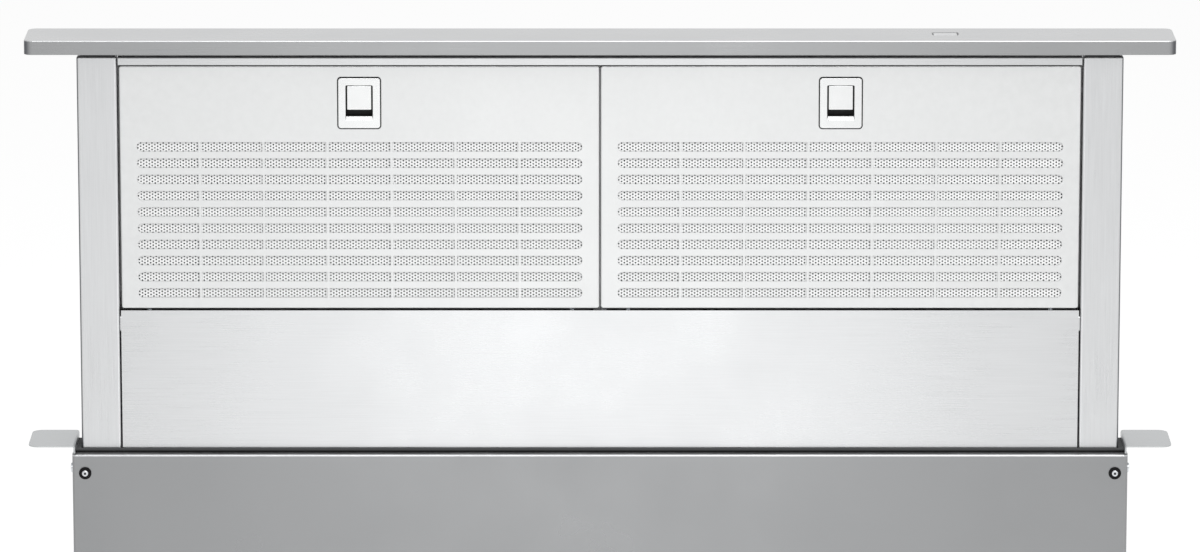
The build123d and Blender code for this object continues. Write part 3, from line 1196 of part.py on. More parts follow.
nodes = build_nodes()
shift, shift_xy = frame_shift(nodes)
os.makedirs("parts", exist_ok=True)
for name, shape in nodes.items():
    export_step(shift * shape, f"parts/{name}.step")
print("nodes", len(nodes), "shift", shift_xy)
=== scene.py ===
import math

import bmesh
import bpy
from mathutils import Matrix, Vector


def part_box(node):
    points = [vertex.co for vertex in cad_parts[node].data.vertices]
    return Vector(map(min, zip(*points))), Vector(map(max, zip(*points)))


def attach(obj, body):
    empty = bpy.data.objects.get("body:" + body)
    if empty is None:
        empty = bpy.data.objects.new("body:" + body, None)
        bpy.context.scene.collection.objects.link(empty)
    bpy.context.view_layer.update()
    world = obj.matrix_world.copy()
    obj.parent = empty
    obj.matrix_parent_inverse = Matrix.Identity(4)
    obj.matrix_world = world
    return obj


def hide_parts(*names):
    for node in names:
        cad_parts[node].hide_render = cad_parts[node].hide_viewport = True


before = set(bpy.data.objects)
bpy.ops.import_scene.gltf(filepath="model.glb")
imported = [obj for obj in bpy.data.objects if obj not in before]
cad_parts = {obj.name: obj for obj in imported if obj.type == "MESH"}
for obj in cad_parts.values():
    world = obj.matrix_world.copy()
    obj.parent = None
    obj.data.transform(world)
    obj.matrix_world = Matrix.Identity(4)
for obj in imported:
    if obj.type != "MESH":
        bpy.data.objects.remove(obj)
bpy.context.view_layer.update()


# ---------------------------------------------------------------------------------------------
# Housing: a folded steel box that stands in the base cabinet, its lip just under the worktop's
# surface. Grey powder coat with aluminium flake in it, with a painted highlight along the lip's fold.

def linear(colour):
    """Turns a written sRGB colour such as "8e8f90" into the linear values that a shader takes."""
    parts = [int(colour[n:n + 2], 16) / 255 for n in (0, 2, 4)]
    return [p / 12.92 if p <= 0.04045 else ((p + 0.055) / 1.055) ** 2.4 for p in parts] + [1.0]


def add(owner, kind, settings=None, links=None):
    """Adds a node to a material or world: its properties and sockets are set by name, then linked."""
    node = owner.node_tree.nodes.new(kind)
    for key, value in (settings or {}).items():
        if isinstance(key, str) and hasattr(node, key):
            setattr(node, key, value)
        else:
            node.inputs[key].default_value = value
    for key, source in (links or {}).items():
        owner.node_tree.links.new(source, node.inputs[key])
    return node


def bare(name):
    """A new material with an empty node tree."""
    material = bpy.data.materials.new(name)
    material.use_nodes = True
    material.node_tree.nodes.clear()
    return material


def place_of(material):
    """The place on the object, in metres, that a material's patterns are drawn from."""
    return add(material, "ShaderNodeTexCoord").outputs["Object"]


def noise(material, place, size_mm, detail=2.0, roughness=0.5):
    """A random pattern from 0 to 1, in patches about this wide."""
    return add(material, "ShaderNodeTexNoise",
               {"Scale": 1000 / size_mm, "Detail": detail, "Roughness": roughness},
               {"Vector": place}).outputs["Fac"]


def calculate(owner, operation, *values):
    """One step of arithmetic, on numbers and on the results of other nodes."""
    numbers = {n: value for n, value in enumerate(values) if isinstance(value, (int, float))}
    results = {n: value for n, value in enumerate(values) if n not in numbers}
    return add(owner, "ShaderNodeMath", {"operation": operation, **numbers}, results).outputs["Value"]


def ranged(owner, value, low, high, start=0.0, end=1.0):
    """A value that goes from low to high while another one goes from start to end."""
    return add(owner, "ShaderNodeMapRange",
               {"From Min": start, "From Max": end, "To Min": low, "To Max": high},
               {"Value": value}).outputs["Result"]


def blend(material, dark, light, amount):
    """A colour between two."""
    return add(material, "ShaderNodeMix", {"data_type": "RGBA", 6: linear(dark), 7: linear(light)},
               {0: amount}).outputs[2]


def bump(material, height, strength, depth_mm):
    """Shades a surface as if a pattern stood out of it."""
    return add(material, "ShaderNodeBump", {"Strength": strength, "Distance": depth_mm / 1000},
               {"Height": height}).outputs["Normal"]


def surface(material, settings, links):
    """Ends a material in one principled surface."""
    face = add(material, "ShaderNodeBsdfPrincipled", settings, links)
    add(material, "ShaderNodeOutputMaterial", links={"Surface": face.outputs["BSDF"]})
    return material


def dress(material, *nodes):
    """Puts a material on CAD nodes."""
    for node in nodes:
        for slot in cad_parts[node].material_slots:
            slot.material = material


def on_folds(material, tone, folds):
    """Paints light and shade onto a colour, as marks of painted highlight and painted shade. Each mark
    is a colour and, for one axis or more, an edge in metres and how far from it, in mm, the colour
    starts to show and is full. On X the edge is its distance from the middle, so that both ends of the
    object get it."""
    parts = add(material, "ShaderNodeSeparateXYZ", {}, {"Vector": place_of(material)}).outputs
    along = {"X": calculate(material, "ABSOLUTE", parts["X"]), "Y": parts["Y"], "Z": parts["Z"]}
    for colour, *spans in folds:
        here = None
        for axis, edge, start, full in spans:
            near = add(material, "ShaderNodeMapRange",
                       {"interpolation_type": "SMOOTHSTEP", "From Min": edge + start / 1000,
                        "From Max": edge + full / 1000}, {"Value": along[axis]}).outputs["Result"]
            here = near if here is None else calculate(material, "MULTIPLY", here, near)
        tone = add(material, "ShaderNodeMix", {"data_type": "RGBA", 7: linear(colour)},
                   {0: here, 6: tone}).outputs[2]
    return tone


def powder_coat(name, light, dark, roughness, peel_mm, depth_mm, folds):
    """Baked powder coat with metal flake: an orange-peel skin that blurs the light to a broad soft
    glow, a little dusty in patches."""
    coat = bare(name)
    place = place_of(coat)
    peel = noise(coat, place, peel_mm)
    dust = noise(coat, place, size_mm=85.0, detail=3.0, roughness=0.55)
    tone = on_folds(coat, blend(coat, dark, light, dust), folds)
    sheen = ranged(coat, dust, roughness - 0.06, roughness + 0.06, start=0.3, end=0.7)
    skin = bump(coat, peel, strength=0.35, depth_mm=depth_mm)
    return surface(coat, {"Metallic": 0.9}, {"Base Color": tone, "Roughness": sheen, "Normal": skin})


low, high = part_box("housing_front")
# painted highlight: a lighter colour along the lip's fold, where the light catches it
lip_fold = ("b4b5b6", ("Z", high[2], -1.6, -1.0), ("Y", low[1], 1.6, 1.0))
housing_coat = powder_coat("steel_grey_flake_powder_coat_painted_highlight", "929394", "8d8e8f", roughness=0.32,
                           peel_mm=1.6, depth_mm=0.05, folds=(lip_fold,))
dress(housing_coat, "housing_front", "housing_back")


# ---------------------------------------------------------------------------------------------
# Guide rails, screw bearings and the bracket of the lift motor: pressed steel, zinc plated and
# passivated, screwed inside the ends of the housing.

def zinc_plate(name, light, dark, roughness, folds=()):
    """Bright zinc plate, clear passivated: a cool silver with a faint bluish cloud over it."""
    plate = bare(name)
    place = place_of(plate)
    cloud = noise(plate, place, size_mm=22.0, detail=5.0, roughness=0.6)
    tone = on_folds(plate, blend(plate, dark, light, cloud), folds)
    gloss = ranged(plate, cloud, roughness - 0.08, roughness + 0.08)
    skin = bump(plate, noise(plate, place, size_mm=0.9), strength=0.2, depth_mm=0.05)
    return surface(plate, {"Metallic": 1.0}, {"Base Color": tone, "Roughness": gloss, "Normal": skin})


zinc_plated = zinc_plate("steel_zinc_plated", "c6cace", "a9aeb5", roughness=0.34)
dress(zinc_plated, "guide_rails", "screw_bearings", "lift_motor_bracket")


# ---------------------------------------------------------------------------------------------
# Levelling feet: turned steel pads on threaded stems that stand on the cabinet's floor, zinc
# plated like the rails.

dress(zinc_plated, "levelling_feet")


# ---------------------------------------------------------------------------------------------
# Blower box: case, screwed cover, the scroll inside it and the duct's collar, of galvanised sheet,
# on the lower front of the housing. The inlet ring is moulded in black polypropylene.

SWIRL = 1.6                # size of the swirls that make zinc crystals ragged, to a crystal's own
STRAY = 0.004              # how far a swirl can move a crystal's edge


def galvanised_sheet(name, light, dark, spangle_mm, roughness):
    """Hot-dip galvanised sheet: flat zinc crystals, each at its own brightness, with ragged edges and
    a dull silver bloom."""
    zinc = bare(name)
    place = place_of(zinc)
    stir = add(zinc, "ShaderNodeTexNoise", {"Scale": 1000 / (spangle_mm * SWIRL), "Detail": 2.0},
               {"Vector": place}).outputs["Color"]
    ragged = add(zinc, "ShaderNodeVectorMath", {"operation": "MULTIPLY_ADD", 1: [STRAY] * 3},
                 {0: stir, 2: place}).outputs["Vector"]
    crystals = add(zinc, "ShaderNodeTexVoronoi", {"Scale": 1000 / spangle_mm}, {"Vector": ragged})
    each = add(zinc, "ShaderNodeSeparateColor", {}, {"Color": crystals.outputs["Color"]}).outputs
    tone = blend(zinc, dark, light, each["Red"])
    gloss = ranged(zinc, each["Green"], roughness - 0.1, roughness + 0.1)
    return surface(zinc, {"Metallic": 1.0}, {"Base Color": tone, "Roughness": gloss})


def moulded_plastic(name, colour, shade, roughness, grain_mm, depth_mm):
    """Moulded plastic: one colour all through, its gloss broken by the mould's fine spark texture."""
    plastic = bare(name)
    place = place_of(plastic)
    tone = blend(plastic, shade, colour, noise(plastic, place, size_mm=40.0))
    spark = noise(plastic, place, grain_mm, detail=3.0, roughness=0.6)
    return surface(plastic, {"IOR": 1.5, "Metallic": 0.0, "Roughness": roughness},
                   {"Base Color": tone,
                    "Normal": bump(plastic, spark, strength=0.4, depth_mm=depth_mm)})


duct_sheet = galvanised_sheet("steel_hot_dip_galvanised", "c9ccce", "b1b4b8", spangle_mm=6.0,
                              roughness=0.38)
ring_plastic = moulded_plastic("polypropylene_black_moulded", "303132", "242526", roughness=0.42,
                               grain_mm=1.1, depth_mm=0.05)
dress(duct_sheet, "blower_case", "blower_cover", "blower_scroll", "duct_collar")
dress(ring_plastic, "inlet_ring")


# ---------------------------------------------------------------------------------------------
# Impeller, its shaft and the fan motor. The wheel's blades are galvanised strip held between
# rings, on a ground steel shaft; the motor's can is deep-drawn steel in satin black enamel.

def satin_enamel(name, colour, shade, roughness):
    """Sprayed enamel: a close, even film with a soft highlight and a fine spray grain."""
    enamel = bare(name)
    place = place_of(enamel)
    tone = blend(enamel, shade, colour, noise(enamel, place, size_mm=30.0, detail=4.0))
    skin = bump(enamel, noise(enamel, place, size_mm=1.2), strength=0.25, depth_mm=0.04)
    return surface(enamel, {"IOR": 1.5, "Roughness": roughness, "Coat Weight": 0.15},
                   {"Base Color": tone, "Normal": skin})


def grain(material, size_mm, detail, roughness):
    """A random pattern drawn out to lines: each axis is divided by its own size, and the noise is left
    at one metre."""
    drawn = add(material, "ShaderNodeMapping", {"Scale": [1000 / mm for mm in size_mm]},
                {"Vector": place_of(material)})
    return noise(material, drawn.outputs["Vector"], size_mm=1000.0, detail=detail, roughness=roughness)


def ground_steel(name, light, dark, roughness, ring_mm):
    """Ground or turned bar: bright, with fine rings round it that stretch the highlight."""
    bar = bare(name)
    rings = grain(bar, size_mm=(25.0, 25.0, ring_mm), detail=3.0, roughness=0.6)
    gloss = ranged(bar, rings, roughness - 0.06, roughness + 0.08)
    return surface(bar, {"Metallic": 1.0},
                   {"Base Color": blend(bar, dark, light, rings), "Roughness": gloss,
                    "Normal": bump(bar, rings, strength=0.2, depth_mm=0.03)})


motor_enamel = satin_enamel("steel_satin_black_enamel", "2a2b2e", "202124", roughness=0.36)
bright_steel = ground_steel("steel_ground_bright", "d2d3d4", "b4b6b8", roughness=0.2, ring_mm=0.8)
dress(duct_sheet, "impeller_wheel")
dress(motor_enamel, "fan_motor", "lift_motor")
dress(bright_steel, "fan_shaft", "damper_rod")


# ---------------------------------------------------------------------------------------------
# Back-draught flaps: two half discs of thin galvanised sheet on one steel rod across the duct
# collar. They hang shut and the fan's air lifts them.

dress(duct_sheet, "damper_flap_front", "damper_flap_rear")


# ---------------------------------------------------------------------------------------------
# Control box with its screwed cover, and the gland that the mains lead goes in by. The box is
# folded galvanised sheet; the gland is turned from black nylon.

black_nylon = moulded_plastic("nylon_black_moulded", "2b2c2d", "222324", roughness=0.5,
                              grain_mm=0.8, depth_mm=0.04)
dress(duct_sheet, "control_box", "control_box_cover")
dress(black_nylon, "cable_gland")


# ---------------------------------------------------------------------------------------------
# Lift: a lead screw at each end of the housing, its toothed pulley, and the belt that makes both
# turn together. The threads are rolled steel, dark with grease in their roots.

def rolled_thread(name, axis, pitch_mm):
    """A rolled thread round an upright axis, drawn as a helical bump: bright crests, greasy roots."""
    thread = bare(name)
    about = add(thread, "ShaderNodeVectorMath", {"operation": "SUBTRACT", 1: (*axis, 0.0)},
                {0: place_of(thread)})
    parts = add(thread, "ShaderNodeSeparateXYZ", {}, {"Vector": about.outputs["Vector"]}).outputs
    angle = calculate(thread, "ARCTAN2", parts["Y"], parts["X"])
    helix = calculate(thread, "MULTIPLY_ADD", parts["Z"], 2 * math.pi * 1000 / pitch_mm, angle)
    flank = ranged(thread, calculate(thread, "SINE", helix), 0.0, 1.0, start=-0.5, end=0.5)
    return surface(thread, {"Metallic": 1.0, "Roughness": 0.28},
                   {"Base Color": blend(thread, "55544f", "c4c5c6", flank),
                    "Normal": bump(thread, flank, strength=1.0, depth_mm=1.2)})


def moulded_rubber(name, colour, bloom, roughness, folds=()):
    """Moulded rubber: near black and dull, with a faint grey bloom in patches."""
    rubber = bare(name)
    place = place_of(rubber)
    patch = noise(rubber, place, size_mm=35.0, detail=5.0, roughness=0.65)
    tone = on_folds(rubber, blend(rubber, colour, bloom, patch), folds)
    skin = bump(rubber, noise(rubber, place, size_mm=0.7), strength=0.4, depth_mm=0.06)
    return surface(rubber, {"IOR": 1.5, "Roughness": roughness, "Specular IOR Level": 0.15},
                   {"Base Color": tone, "Normal": skin})


def mill_aluminium(name, light, dark, roughness, line_mm):
    """Aluminium as it leaves the mill: soft silver with faint rolling lines and a low, even lustre."""
    alloy = bare(name)
    lines = grain(alloy, size_mm=(60.0, line_mm, line_mm), detail=4.0, roughness=0.6)
    gloss = ranged(alloy, lines, roughness - 0.07, roughness + 0.07)
    return surface(alloy, {"Metallic": 1.0},
                   {"Base Color": blend(alloy, dark, light, lines), "Roughness": gloss,
                    "Normal": bump(alloy, lines, strength=0.15, depth_mm=0.05)})


THREAD_PITCH = 8.0         # mm of lift to one turn

for side in ("left", "right"):
    low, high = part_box(f"{side}_lead_screw")
    axis = [(low[n] + high[n]) / 2 for n in (0, 1)]
    dress(rolled_thread(f"steel_rolled_thread_{side}", axis, THREAD_PITCH), f"{side}_lead_screw")
belt_rubber = moulded_rubber("rubber_toothed_belt", "1b1b1c", "2a2a2a", roughness=0.72)
pulley_alloy = mill_aluminium("aluminium_turned", "cfd0d2", "b4b6b8", roughness=0.27, line_mm=0.8)
dress(pulley_alloy, "left_screw_pulley", "right_screw_pulley", "motor_coupler")
dress(belt_rubber, "drive_belt")


# ---------------------------------------------------------------------------------------------
# Counter tabs: bent plates that rest on the worktop, one at each end of the housing. Zinc coated
# sheet, dull and even.

tab_steel = zinc_plate("steel_zinc_coated_sheet", "bcbebf", "b3b5b6", roughness=0.42)
dress(tab_steel, "left_counter_tab", "right_counter_tab")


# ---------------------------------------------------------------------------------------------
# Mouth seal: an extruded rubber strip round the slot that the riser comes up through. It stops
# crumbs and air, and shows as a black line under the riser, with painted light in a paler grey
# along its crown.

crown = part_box("mouth_seal")[1][2]
# painted light: the seal's crown is a paler grey, where light falls on its top
wiped = ("48494a", ("Z", crown, -2.0, -1.5))
seal_rubber = moulded_rubber("rubber_extruded_seal_painted_crown_light", "0b0b0c", "121213", roughness=0.78,
                             folds=(wiped,))
dress(seal_rubber, "mouth_seal")


# ---------------------------------------------------------------------------------------------
# Corner screws on rubber washers, and the self-tapping screws of the blower and control box
# covers. Pan heads, bright zinc; the corner ones have a square recess, with painted shade in it.

RECESS_RIM, RECESS_DARK = 1.1, 0.7   # mm from a screw's middle to where its recess starts and is dark

low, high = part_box("corner_washers")
beside = high[0] - (high[2] - low[2]) / 2
low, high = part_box("corner_screws")
middle = (low[2] + high[2]) / 2
# painted shade: a dark colour in the middle of each corner screw's head, for the shade in its recess
recess = ("303132", ("X", beside, -RECESS_RIM, -RECESS_DARK), ("X", beside, RECESS_RIM, RECESS_DARK),
          ("Z", middle, -RECESS_RIM, -RECESS_DARK), ("Z", middle, RECESS_RIM, RECESS_DARK))
washer_rubber = moulded_rubber("rubber_black_washer", "0d0d0e", "151516", roughness=0.62)
corner_zinc = zinc_plate("steel_bright_zinc_recessed_screws", "d2d4d6", "bdc0c4", roughness=0.28,
                         folds=(recess,))
screw_zinc = zinc_plate("steel_bright_zinc_screws", "dfe1e3", "c4c7cb", roughness=0.24)
dress(washer_rubber, "corner_washers")
dress(corner_zinc, "corner_screws")
dress(screw_zinc, "case_screws")


# ---------------------------------------------------------------------------------------------
# Riser columns: one folded stainless sheet at each end, brushed upwards, with painted shade
# along its outer bend. They carry the cap and run down inside the housing.

def brushed_stainless(name, light, dark, grain_mm, roughness, depth_mm, folds=()):
    """Stainless sheet from the brushing belt: parallel scratches that break its reflection into fine
    streaks. Real scratches are about 0.1 mm wide and are drawn wider so that they show."""
    steel = bare(name)
    streaks = grain(steel, grain_mm, detail=4.0, roughness=0.65)
    handled = noise(steel, place_of(steel), size_mm=70.0, detail=3.0)
    tone = blend(steel, dark, light, ranged(steel, streaks, 0.0, 1.0, start=0.3, end=0.7))
    blur = calculate(steel, "ADD", streaks, handled)
    gloss = ranged(steel, blur, roughness - 0.07, roughness + 0.07, start=0.6, end=1.4)
    return surface(steel, {"Metallic": 1.0},
                   {"Base Color": on_folds(steel, tone, folds), "Roughness": gloss,
                    "Normal": bump(steel, streaks, strength=0.3, depth_mm=depth_mm)})


low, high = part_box("right_column")
# painted shade: a dark colour along each column's outer bend
column_bend = ("66676a", ("X", high[0], -1.5, -0.7), ("Y", low[1], 2.0, 1.2))
column_steel = brushed_stainless("stainless_column_brushed_upwards_painted_bend_shade", "cccdce", "c5c6c7",
                                 grain_mm=(1.0, 1.0, 55.0), roughness=0.32, depth_mm=0.03,
                                 folds=(column_bend,))
dress(column_steel, "left_column", "right_column")


# ---------------------------------------------------------------------------------------------
# Riser front and back: the thin rail under the cap, the fixed panel under the filters, the post
# between these and the sheet behind. The front ones are brushed sideways, the rest left as the mill
# rolled them; the brackets of the panels' hinges are zinc plated.

front_steel = brushed_stainless("stainless_front_brushed_sideways", "cacbcc", "c4c5c6",
                                grain_mm=(60.0, 1.0, 1.0), roughness=0.3, depth_mm=0.03)
plain_steel = brushed_stainless("stainless_mill_finish", "c9cacb", "bfc0c2",
                                grain_mm=(30.0, 1.6, 1.6), roughness=0.4, depth_mm=0.03)
dress(front_steel, "top_rail", "lower_front_panel")
dress(plain_steel, "riser_back", "centre_mullion")
dress(zinc_plated, "hinge_brackets")


# ---------------------------------------------------------------------------------------------
# Slide pads and lift nuts: the pads are white acetal, moulded, and run in the guide rails; the
# nuts are turned bronze and ride the lead screws.

white_acetal = moulded_plastic("acetal_white_moulded", "dcdcd8", "d2d2cd", roughness=0.38,
                               grain_mm=0.9, depth_mm=0.02)
turned_bronze = ground_steel("bronze_turned", "c9a268", "a98450", roughness=0.28, ring_mm=0.9)
dress(white_acetal, "slide_pads")
dress(turned_bronze, "lift_nuts")


# ---------------------------------------------------------------------------------------------
# Filter panels: a stainless face with ten rows of slots, folded back at its edges, that tips
# forwards on a rod. Fine satin finish, brighter than the brushed sheets round it.

panel_steel = brushed_stainless("stainless_panel_fine_satin", "d2d3d3", "cecfcf",
                                grain_mm=(6.0, 1.0, 6.0), roughness=0.42, depth_mm=0.01)
dress(panel_steel, "left_panel_face", "right_panel_face")
dress(bright_steel, "left_pivot_rod", "right_pivot_rod")


# ---------------------------------------------------------------------------------------------
# Perforated sheets: what shows through the slots. Thin stainless, punched all over with round
# holes in staggered rows, and tacked to the back of each panel's face.

HOLE_PITCH = 0.0026        # really 2.3 mm, drawn a little coarser so that the holes show
HOLE_RADIUS = 0.00071      # really 1.2 mm across, drawn as hexagons a little larger
HOLE_CORNERS = 6
SHEET_BACK = 0.0004        # sheet behind its CAD node's front


def put(name, data):
    """A new object in the scene that shows a mesh, a lamp or a camera."""
    thing = bpy.data.objects.new(name, data)
    bpy.context.scene.collection.objects.link(thing)
    return thing


def perforated_sheet(name, low, high, y):
    """A sheet of six-sided cells with a hole in each, in staggered rows, cut straight at its edges."""
    column = HOLE_PITCH * math.sqrt(3) / 2
    corner = HOLE_PITCH / math.sqrt(3)
    across = int((high[0] - low[0]) / column) + 1
    along = int((high[2] - low[2]) / HOLE_PITCH) + 2
    turn = [n * 2 * math.pi / HOLE_CORNERS for n in range(HOLE_CORNERS)]
    corners, faces = {}, []

    def point(x, z):
        x, z = min(max(x, low[0]), high[0]), min(max(z, low[2]), high[2])
        return corners.setdefault((round(x, 7), round(z, 7)), len(corners))

    for i in range(across + 1):
        for j in range(along):
            x = low[0] + i * column
            z = low[2] + (j + 0.5 * (i % 2)) * HOLE_PITCH
            rim, hole = ([point(x + reach * math.cos(a), z + reach * math.sin(a)) for a in turn]
                         for reach in (corner, HOLE_RADIUS))
            for n in range(HOLE_CORNERS):
                m = (n + 1) % HOLE_CORNERS
                face = [rim[n], rim[m], hole[m], hole[n]]
                if len(set(face)) == 4:
                    faces.append(face)
    mesh = bpy.data.meshes.new(name)
    mesh.from_pydata([(x, y, z) for x, z in corners], [], faces)
    mesh.update()
    return put(name, mesh)


def pickled_sheet(name, light, dark, roughness, cloud_mm):
    """Stainless pickled matt after it was punched: pale, and it scatters light almost like paper."""
    sheet = bare(name)
    cloud = noise(sheet, place_of(sheet), cloud_mm, detail=4.0, roughness=0.6)
    return surface(sheet, {"Metallic": 0.15, "Roughness": roughness},
                   {"Base Color": blend(sheet, dark, light, cloud),
                    "Normal": bump(sheet, cloud, strength=0.2, depth_mm=0.04)})


punched_steel = pickled_sheet("stainless_punched_pickled", "f6f6f6", "eeefef", roughness=0.6,
                              cloud_mm=18.0)
for side in ("left", "right"):
    low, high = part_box(f"{side}_filter_sheet")
    sheet = perforated_sheet(f"{side}_perforated_sheet", low, high, low[1] + SHEET_BACK)
    sheet.data.materials.append(punched_steel)
    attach(sheet, f"{side}_filter_panel")
    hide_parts(f"{side}_filter_sheet")


# ---------------------------------------------------------------------------------------------
# Filters: an aluminium channel frame round a pad of knitted aluminium mesh, in layers, with a foam
# gasket to the perforated sheet. The pad catches grease. Its wires are drawn dull and its depths
# dark, as painted shade for the dark behind the perforated sheet.

WAVE_BANDS = 3.15          # bands that a wave texture draws in one unit of its scale


def knitted_mesh(name, wire, gap, loop_mm):
    """Knitted filter wire: small bright loops over depths of painted shade, in two layers that cross.
    """
    mesh = bare(name)
    lean = add(mesh, "ShaderNodeMapping", {"Rotation": (0.0, math.radians(45), 0.0)},
               {"Vector": place_of(mesh)}).outputs["Vector"]
    rows, files = (add(mesh, "ShaderNodeTexWave",
                       {"Scale": 1000 / loop_mm / WAVE_BANDS, "bands_direction": direction,
                        "Distortion": 1.5, "Detail": 1.0}, {"Vector": lean}).outputs["Fac"]
                   for direction in ("X", "Z"))
    wires = calculate(mesh, "MAXIMUM", rows, files)
    tone = blend(mesh, gap, wire, ranged(mesh, wires, 0.0, 1.0, start=0.55, end=0.95))
    return surface(mesh, {"Metallic": 1.0, "Roughness": 0.45},
                   {"Base Color": tone,
                    "Normal": bump(mesh, wires, strength=0.8, depth_mm=0.6)})


def inset(low, high, by):
    """The left, right, bottom and top of a box's front, each moved in."""
    return low[0] + by, high[0] - by, low[2] + by, high[2] - by


def rounded_ring(x0, x1, z0, z1, radius, steps=6):
    """Corners of a rounded rectangle, in order."""
    ring = []
    for cx, cz, start in ((x1 - radius, z1 - radius, 0), (x0 + radius, z1 - radius, 90),
                          (x0 + radius, z0 + radius, 180), (x1 - radius, z0 + radius, 270)):
        for n in range(steps + 1):
            a = math.radians(start + 90 * n / steps)
            ring.append((cx + radius * math.cos(a), cz + radius * math.sin(a)))
    return ring


def loft(name, rings, ends):
    """A skin over rings of points that have the same count. Its ends are "joined" to each other,
    "closed" with a face each, or closed at the "last" ring alone."""
    mesh = bmesh.new()
    rows = [[mesh.verts.new(v) for v in ring] for ring in rings]
    pairs = list(zip(rows, rows[1:])) + ([(rows[-1], rows[0])] if ends == "joined" else [])
    for a, b in pairs:
        for n in range(len(a)):
            m = (n + 1) % len(a)
            mesh.faces.new((a[n], a[m], b[m], b[n]))
    for row in {"joined": [], "last": rows[-1:], "closed": [rows[0], rows[-1]]}[ends]:
        mesh.faces.new(row)
    bmesh.ops.recalc_face_normals(mesh, faces=mesh.faces)
    data = bpy.data.meshes.new(name)
    mesh.to_mesh(data)
    mesh.free()
    return put(name, data)


def flat_ring(name, outer, inner, near, far):
    """A flat ring between two outlines, from one depth to another."""
    return loft(name, [[(x, y, z) for x, z in outline] for outline, y in
                       ((outer, near), (inner, near), (inner, far), (outer, far))], "joined")


FOAM = 0.0001              # how far the squeezed foam stands off its frame
FRAME_RIM = 0.006          # width of the frame's channel
FRAME_CORNER = 0.001
HAIR = 0.00002             # keeps two faces out of one plane

filter_channel = mill_aluminium("aluminium_mill_finish", "d8d9da", "c6c8ca", roughness=0.33,
                                line_mm=1.3)
# painted shade: the whole pad is dark, its wires a dull grey and the depths between them near black
filter_mesh = knitted_mesh("aluminium_knitted_mesh_painted_shade", "77797b", "1d1e1f", loop_mm=6.0)
filter_foam = moulded_rubber("rubber_closed_cell_foam", "1b1b1c", "242425", roughness=0.9)
for side in ("left", "right"):
    dress(filter_channel, f"{side}_filter_frame")
    dress(filter_mesh, f"{side}_filter_media")
    low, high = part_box(f"{side}_filter_frame")
    outer = rounded_ring(*inset(low, high, 0.0), FRAME_CORNER)
    inner = rounded_ring(*inset(low, high, FRAME_RIM), FRAME_CORNER)
    foam = flat_ring(f"{side}_filter_gasket", outer, inner, low[1] - FOAM, low[1] - HAIR)
    foam.data.materials.append(filter_foam)
    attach(foam, f"{side}_filter_panel")


# ---------------------------------------------------------------------------------------------
# Latches: a surround in each panel, on a thin black gasket whose edge round it is also a painted
# shade line, with a slider in its pocket that a finger pushes down to draw the bolt. Die-cast zinc,
# satin chromed; the pocket's lining is black nylon, its black painted shade for the pocket's depth.

GASKET_PROUD = 0.0008      # what shows of the gasket round the surround
GASKET_THICK = 0.0004      # how far it stands off the panel
GASKET_LAP = 0.001         # how far it reaches under the surround
GASKET_CORNER, GASKET_INNER_CORNER = 0.003, 0.0014
POCKET_SIDE, POCKET_FOOT, POCKET_HEAD = 0.00585, 0.0064, 0.0059   # from the surround's edges in
POCKET_DEPTH = 0.0086
LINING_GAP = 0.00012       # lining's walls to the pocket's
LINING_MOUTH = 0.0008      # its open edge behind the surround's front
LINING_LIFT = 0.00015      # its floor in front of the pocket's
LINING_CORNER = 0.0009
LINING_FOOT = 0.0001       # its lower wall to the ramp's top
RAMP = 0.0032              # height of the ramp below the slider, which guides the finger in
RAMP_FRONT = (0.00015, 0.0012)   # its front at the foot and top, behind the surround's front
RAMP_BACK = (0.00045, 0.0035)    # its back at the foot and top, likewise
RAMP_TAPER = 0.0007        # each end leans in by this


def satin_chrome(name, colour, shade, roughness):
    """Satin chrome on a die casting: near white and smooth, with the least waviness of the casting."""
    chrome = bare(name)
    cast = noise(chrome, place_of(chrome), size_mm=9.0)
    return surface(chrome, {"Metallic": 1.0, "Roughness": roughness},
                   {"Base Color": blend(chrome, shade, colour, cast),
                    "Normal": bump(chrome, cast, strength=0.15, depth_mm=0.2)})


latch_chrome = satin_chrome("zinc_casting_satin_chrome", "d5d6d6", "cecfcf", roughness=0.26)
# painted shade: the gasket's black edge, proud of the surround, stands for the shade line round it
gasket_foam = moulded_rubber("rubber_die_cut_gasket_and_painted_shade_line", "111112", "19191a", roughness=0.85)
